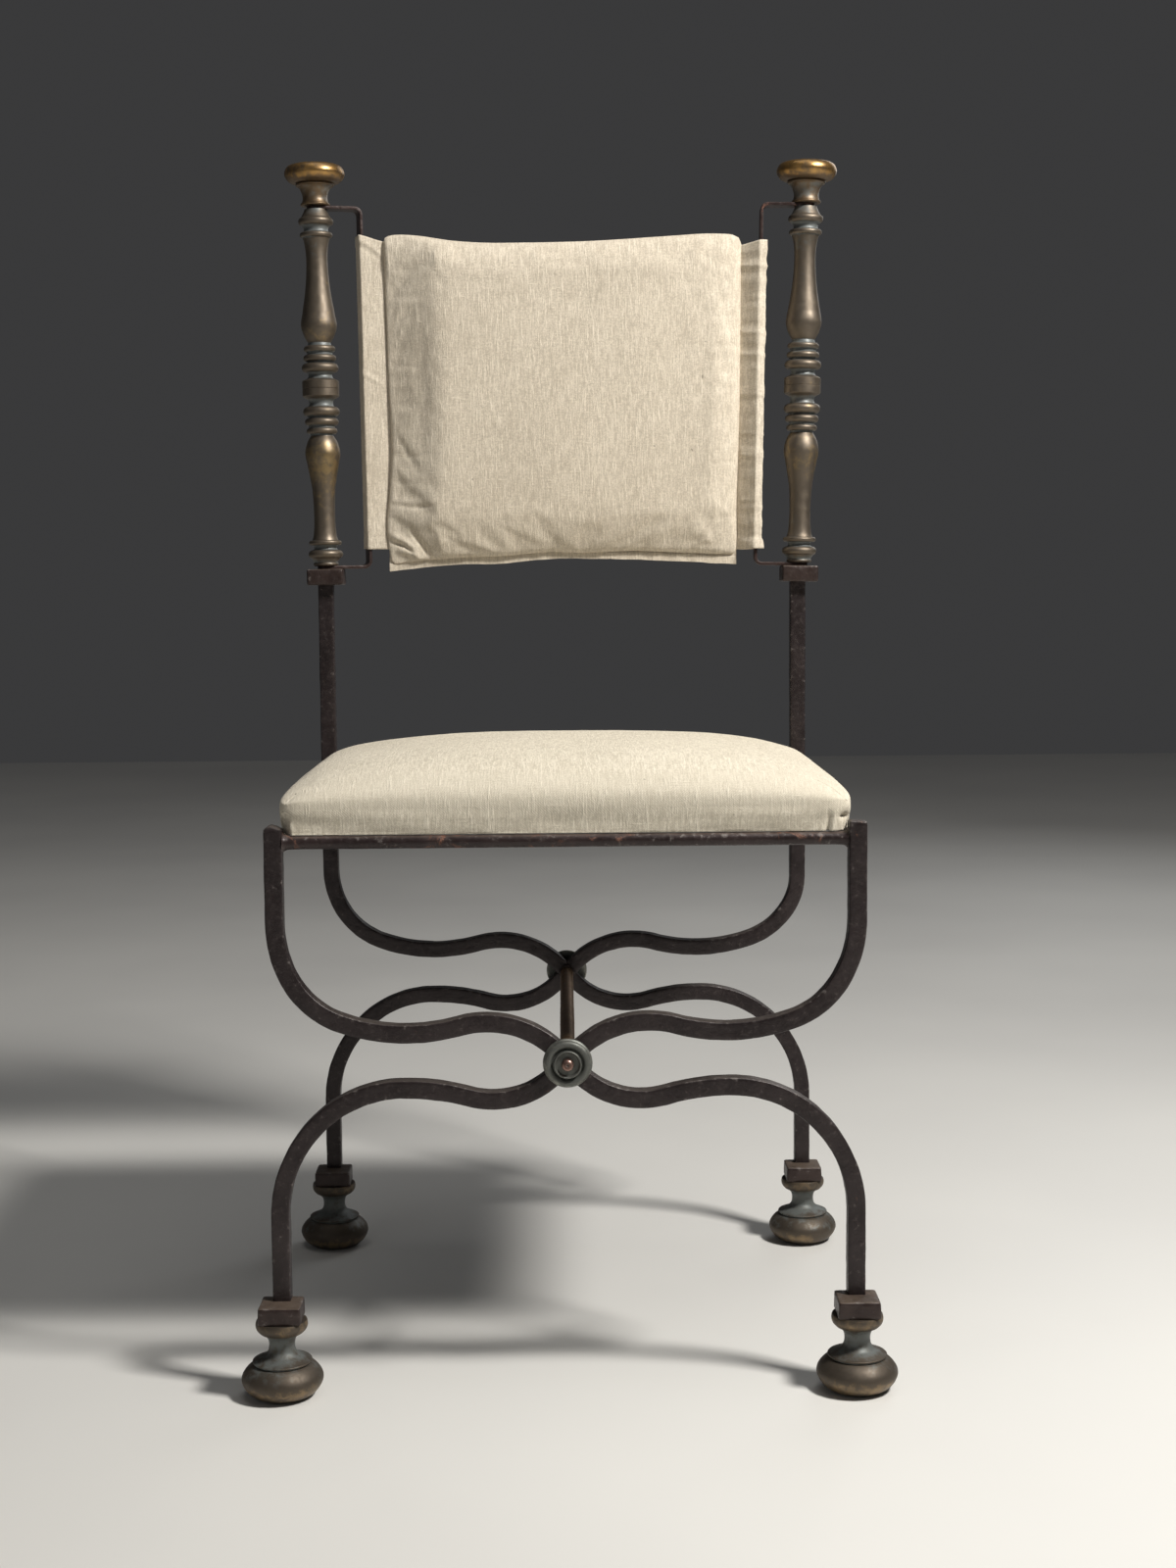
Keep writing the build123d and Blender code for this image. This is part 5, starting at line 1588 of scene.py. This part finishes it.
def build_panel():
    n, mv = 150, 140
    u = np.linspace(0, 1, n)
    w = np.concatenate([np.linspace(0, 0.06, 22), np.linspace(0.06, 1, mv - 21)[1:]])
    U, W = np.meshgrid(u, w)
    X = -162.6 + 325.2 * U
    Z = panel_bottom(U) * (1 - W) + 952.0 * W
    P = np.stack([X, X * 0, Z], -1).reshape(-1, 3)
    wob = (1.0 * vnoise(P / np.array([70.0, 1.0, 46.0]), 501) + 0.5 * vnoise(P / np.array([26.0, 1.0, 60.0]), 502)).reshape(X.shape)
    edge = np.minimum(np.minimum(U, 1 - U) * 325, np.minimum(W, 1 - W) * 300)
    wob = wob * smoothstep(edge, 2.0, 26.0) * 0.55
    low = (Z - panel_bottom(U))
    hem = smoothstep(7.4 - low, -0.5, 0.5)
    hem_side = smoothstep(9.0 - np.minimum(U, 1 - U) * 325.2, -0.5, 0.5) * 0.35
    pucker = 0.45 * vnoise(P / np.array([9.0, 1.0, 30.0]), 503).reshape(X.shape) * smoothstep(16.0 - low, 0.0, 8.0)
    Y1 = 202.0 + wob + 0.55 * hem + hem_side + 0.5 * pucker
    Y0 = np.minimum(200.4 + wob * 0.3, Y1 - 0.9) - 0.75 * hem + pucker * hem
    Z = Z + 0.5 * vnoise(P / np.array([14.0, 1.0, 9.0]), 504).reshape(X.shape) * smoothstep(6.0 - low, 0, 6)
    return sheet_grid("back_panel_cloth", X, Y0, Y1, Z, LINEN_BACK, "back")


panel = build_panel()
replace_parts(panel, "back_panel")


def chaikin(pts, times):
    for _ in range(times):
        out = []
        for i in range(len(pts)):
            p, q = pts[i], pts[(i + 1) % len(pts)]
            out.append(0.75 * p + 0.25 * q)
            out.append(0.25 * p + 0.75 * q)
        pts = out
    return pts


def resample(pts, k):
    pts = np.array(pts)
    closed = np.vstack([pts, pts[:1]])
    s = np.concatenate([[0], np.cumsum(np.linalg.norm(np.diff(closed, axis=0), axis=1))])
    t = np.linspace(0, s[-1], k, endpoint=False)
    return np.column_stack([np.interp(t, s, closed[:, i]) for i in range(closed.shape[1])])


def build_sleeve(name, side, swivel, z0, z1, seed):
    put = lean(side)
    ang = math.radians(-side * swivel)
    u = np.array([-side * math.cos(ang), -side * math.sin(ang)])
    w = np.array([-math.sin(ang), math.cos(ang)])
    k = 72
    n_z = 170
    tip_x = side * 162.9
    lines = (930.6, 869.4, 849.6, 812.0, 776.8, 756.1, 714.7, 692.0)
    bands = (937.8, 924.3, 875.7, 855.0, 842.5, 766.0, 703.0, 682.0)

    def section(c, ease):
        """Outline of the loop: the strap's own outline let out by the cloth,
        drawn in to the panel's edge."""
        t2, w2 = STRAP_T / 2, STRAP_W / 2
        discs = [(c + i * t2 * u + j * w2 * w, ease) for i in (-1, 1) for j in (-1, 1)]
        if side > 0:
            discs += [(c + np.array([-1.6, -9.4]), 1.3), (c + np.array([4.3, -6.8]), 0.9), (c + np.array([4.3, 5.0]), 0.9)]
        discs += [(np.array([tip_x, BACK_Y + 0.4]), 0.9), (np.array([tip_x, BACK_Y + 0.1]), 0.9)]
        a = np.linspace(0, 2 * math.pi, 20, endpoint=False)
        p = np.vstack([q + r * np.column_stack([np.cos(a), np.sin(a)]) for q, r in discs])
        p = p[np.lexsort((p[:, 1], p[:, 0]))]

        def half(seq):
            h = []
            for q in seq:
                while len(h) > 1 and (h[-1][0] - h[-2][0]) * (q[1] - h[-2][1]) - (h[-1][1] - h[-2][1]) * (q[0] - h[-2][0]) <= 0:
                    h.pop()
                h.append(q)
            return h

        lo, hi = half(p), half(p[::-1])
        return np.array(lo[:-1] + hi[:-1])

    rings_out, rings_in = [], []
    for i in range(n_z):
        t = i / (n_z - 1)
        z = z0 + (z1 - z0) * t
        local = np.array([[-side * REACH * math.cos(ang), -side * REACH * math.sin(ang), z]])
        c = put(local)[0][:2]
        near_end = min(z - z0, z1 - z)
        hem = 0.35 * float(smoothstep(9.0 - near_end, -0.4, 0.4))
        flare = 2.2 * float(smoothstep(14.0 - (z - z0), 0.0, 14.0)) if side > 0 else 0.0
        hull = section(c, 1.15)
        # start every ring at the same place, behind the panel's edge
        first = int(np.argmin((hull[:, 0] - tip_x) ** 2 * 4 + (hull[:, 1] - (BACK_Y + 1.2)) ** 2))
        loop = resample(np.roll(hull, -first, axis=0), k)
        nx = np.roll(loop, -1, axis=0) - np.roll(loop, 1, axis=0)
        nrm = np.column_stack([nx[:, 1], -nx[:, 0]])
        nrm /= np.linalg.norm(nrm, axis=1)[:, None]
        if ((loop - loop.mean(0)) * nrm).sum() < 0:
            nrm = -nrm
        p3 = np.column_stack([loop, np.full(k, z)])
        if side > 0:
            d = 0.35 * vnoise(p3 / np.array([60.0, 40.0, 8.5]), seed) + 0.30 * vnoise(p3 / np.array([30.0, 30.0, 4.6]), seed + 1)
            d = d + 0.25 * vnoise(p3 / np.array([9.0, 9.0, 30.0]), seed + 2)
            slant = z + 0.10 * (loop[:, 0] - 175.0)
            for zl in lines:
                d = d + 0.95 * np.exp(-(((slant - zl) / 1.5) ** 2)) * (0.6 + 0.4 * vnoise(p3 / 12.0, seed + 9))
            for zl in bands:
                d = d - 0.75 * np.exp(-(((slant - zl) / 3.2) ** 2))
            d = np.maximum(d, -0.35)
        else:
            skew = p3.copy()
            skew[:, 2] += 0.55 * (p3[:, 0] + 175.0)
            d = 0.32 * vnoise(skew / np.array([60.0, 40.0, 15.0]), seed) + 0.15 * vnoise(skew / np.array([20.0, 20.0, 6.0]), seed + 1)
            for zl in (951.0, 829.0):
                d = d + 0.7 * np.exp(-(((skew[:, 2] - zl) / 3.0) ** 2)) - 0.5 * np.exp(-(((skew[:, 2] - zl + 5.0) / 3.0) ** 2))
            d = np.maximum(d, -0.1)
            # cloth lies flat on the strap's outer face
            d = d * smoothstep(-(loop[:, 0] - c[0]), 6.0, -1.0)
        # the loop stays tight where it joins the panel
        to_tip = np.abs(loop[:, 0] - tip_x)
        d = d * smoothstep(to_tip, 0.5, 6.0)
        dz = 0.8 * vnoise(p3 / np.array([14.0, 14.0, 200.0]), seed + 5)
        out = loop + nrm * (d + hem * smoothstep(to_tip, 0.0, 4.0) + flare * (loop[:, 1] < c[1]) * smoothstep(to_tip, 2.0, 14.0))[:, None]
        inn = loop + nrm * (np.maximum(d, 0.0) - 0.75)[:, None]
        fade = math.exp(-near_end / 10.0)
        # the top edge drops a little towards the cushion on the left side
        drop = 5.6 * np.clip((loop[:, 0] + 187.0) / 22.0, 0, 1) * math.exp(-(z1 - z) / 16.0) if side < 0 else -3.2 * np.clip((loop[:, 0] - 166.0) / 20.0, 0, 1) * math.exp(-(z1 - z) / 16.0) + 3.2 * math.exp(-(z1 - z) / 16.0)
        rings_out.append(np.column_stack([out, z + dz * fade - drop]))
        rings_in.append(np.column_stack([inn, z + dz * fade - drop]))
    verts = [p for r in rings_out for p in r] + [p for r in rings_in for p in r]
    base = n_z * k
    faces = tube_faces(n_z, k)
    faces += [f[::-1] for f in tube_faces(n_z, k, start=base)]
    for j in range(k):
        j2 = (j + 1) % k
        faces.append((j2, j, base + j, base + j2))
        e = (n_z - 1) * k
        faces.append((e + j, e + j2, base + e + j2, base + e + j))
    ob = make_mesh(name, verts, faces, LINEN_BACK, None, merge=0.0005)
    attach(ob, "back")
    return ob


sleeve_l = build_sleeve("back_sleeve_left_cloth", -1, 17.0, 672.6, 961.3, 521)
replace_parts(sleeve_l, "back_sleeve_left")
sleeve_r = build_sleeve("back_sleeve_right_cloth", 1, 2.0, 669.7, 952.8, 541)
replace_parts(sleeve_r, "back_sleeve_right")


# ---------------------------------------------------------------- studio
def build_floor():
    n = 60
    half = 6.0
    verts, faces = [], []
    for j in range(n + 1):
        for i in range(n + 1):
            verts.append(((-half + 2 * half * i / n) / MM, (-half + 2 * half * j / n) / MM, 0.0))
    for j in range(n):
        for i in range(n):
            a = j * (n + 1) + i
            faces.append((a, a + 1, a + n + 2, a + n + 1))
    mat, nt, bsdf = new_material("floor_paint")
    co = coords(nt)
    c = noise_tex(nt, co, 1.3, 4.0, 0.5)
    fine = noise_tex(nt, co, 60.0, 3.0, 0.5)
    col = mix_rgb(nt, ramp(nt, c, 0.3, 0.7), (0.74, 0.73, 0.70), (0.78, 0.77, 0.735))
    nt.links.new(col, bsdf.inputs["Base Color"])
    nt.links.new(ramp(nt, c, 0.2, 0.8, 0.42, 0.55), bsdf.inputs["Roughness"])
    bump_chain(nt, bsdf, [(fine, 0.12, 0.0006)])
    ob = make_mesh("floor", verts, faces, mat, None)


build_floor()


def area_light(name, location, target, size, power, colour=(1, 1, 1), size_y=None):
    data = bpy.data.lights.new(name, "AREA")
    data.energy = power
    data.color = colour
    data.size = size
    if size_y:
        data.shape = "RECTANGLE"
        data.size_y = size_y
    ob = bpy.data.objects.new(name, data)
    SCENE.collection.objects.link(ob)
    ob.location = location
    ob.rotation_mode = "QUATERNION"
    ob.rotation_quaternion = (Vector(target) - Vector(location)).to_track_quat("-Z", "Y")
    return ob


area_light("key", (1.26, -0.88, 2.17), (0.0, 0.0, 0.46), 0.36, 72.0, (1.0, 0.972, 0.93))
area_light("fill", (-1.9, -2.5, 1.5), (0.0, 0.0, 0.5), 1.9, 3.0, (0.95, 0.97, 1.0))
area_light("top", (0.1, -0.3, 3.3), (0.0, 0.0, 0.3), 2.0, 12.0, (1.0, 0.985, 0.96))
area_light("rear", (1.5, 2.5, 1.9), (0.0, 0.1, 0.5), 1.5, 11.0, (0.96, 0.98, 1.0))

world = bpy.data.worlds.new("studio")
world.use_nodes = True
bg = world.node_tree.nodes.get("Background") or world.node_tree.nodes.new("ShaderNodeBackground")
bg.inputs["Color"].default_value = (0.042, 0.042, 0.043, 1.0)
bg.inputs["Strength"].default_value = 1.0
SCENE.world = world
SCENE.view_settings.view_transform = "Standard"

# every made mesh moves from the drawing datum to the object's own frame
cad_objects = {o.name for o in frame["nodes"].values()}
for ob in list(SCENE.objects):
    if ob.type == "MESH" and ob.name != "floor" and ob.name not in cad_objects:
        ob.data.transform(Matrix.Translation(PLACE))
        ob.data.update()
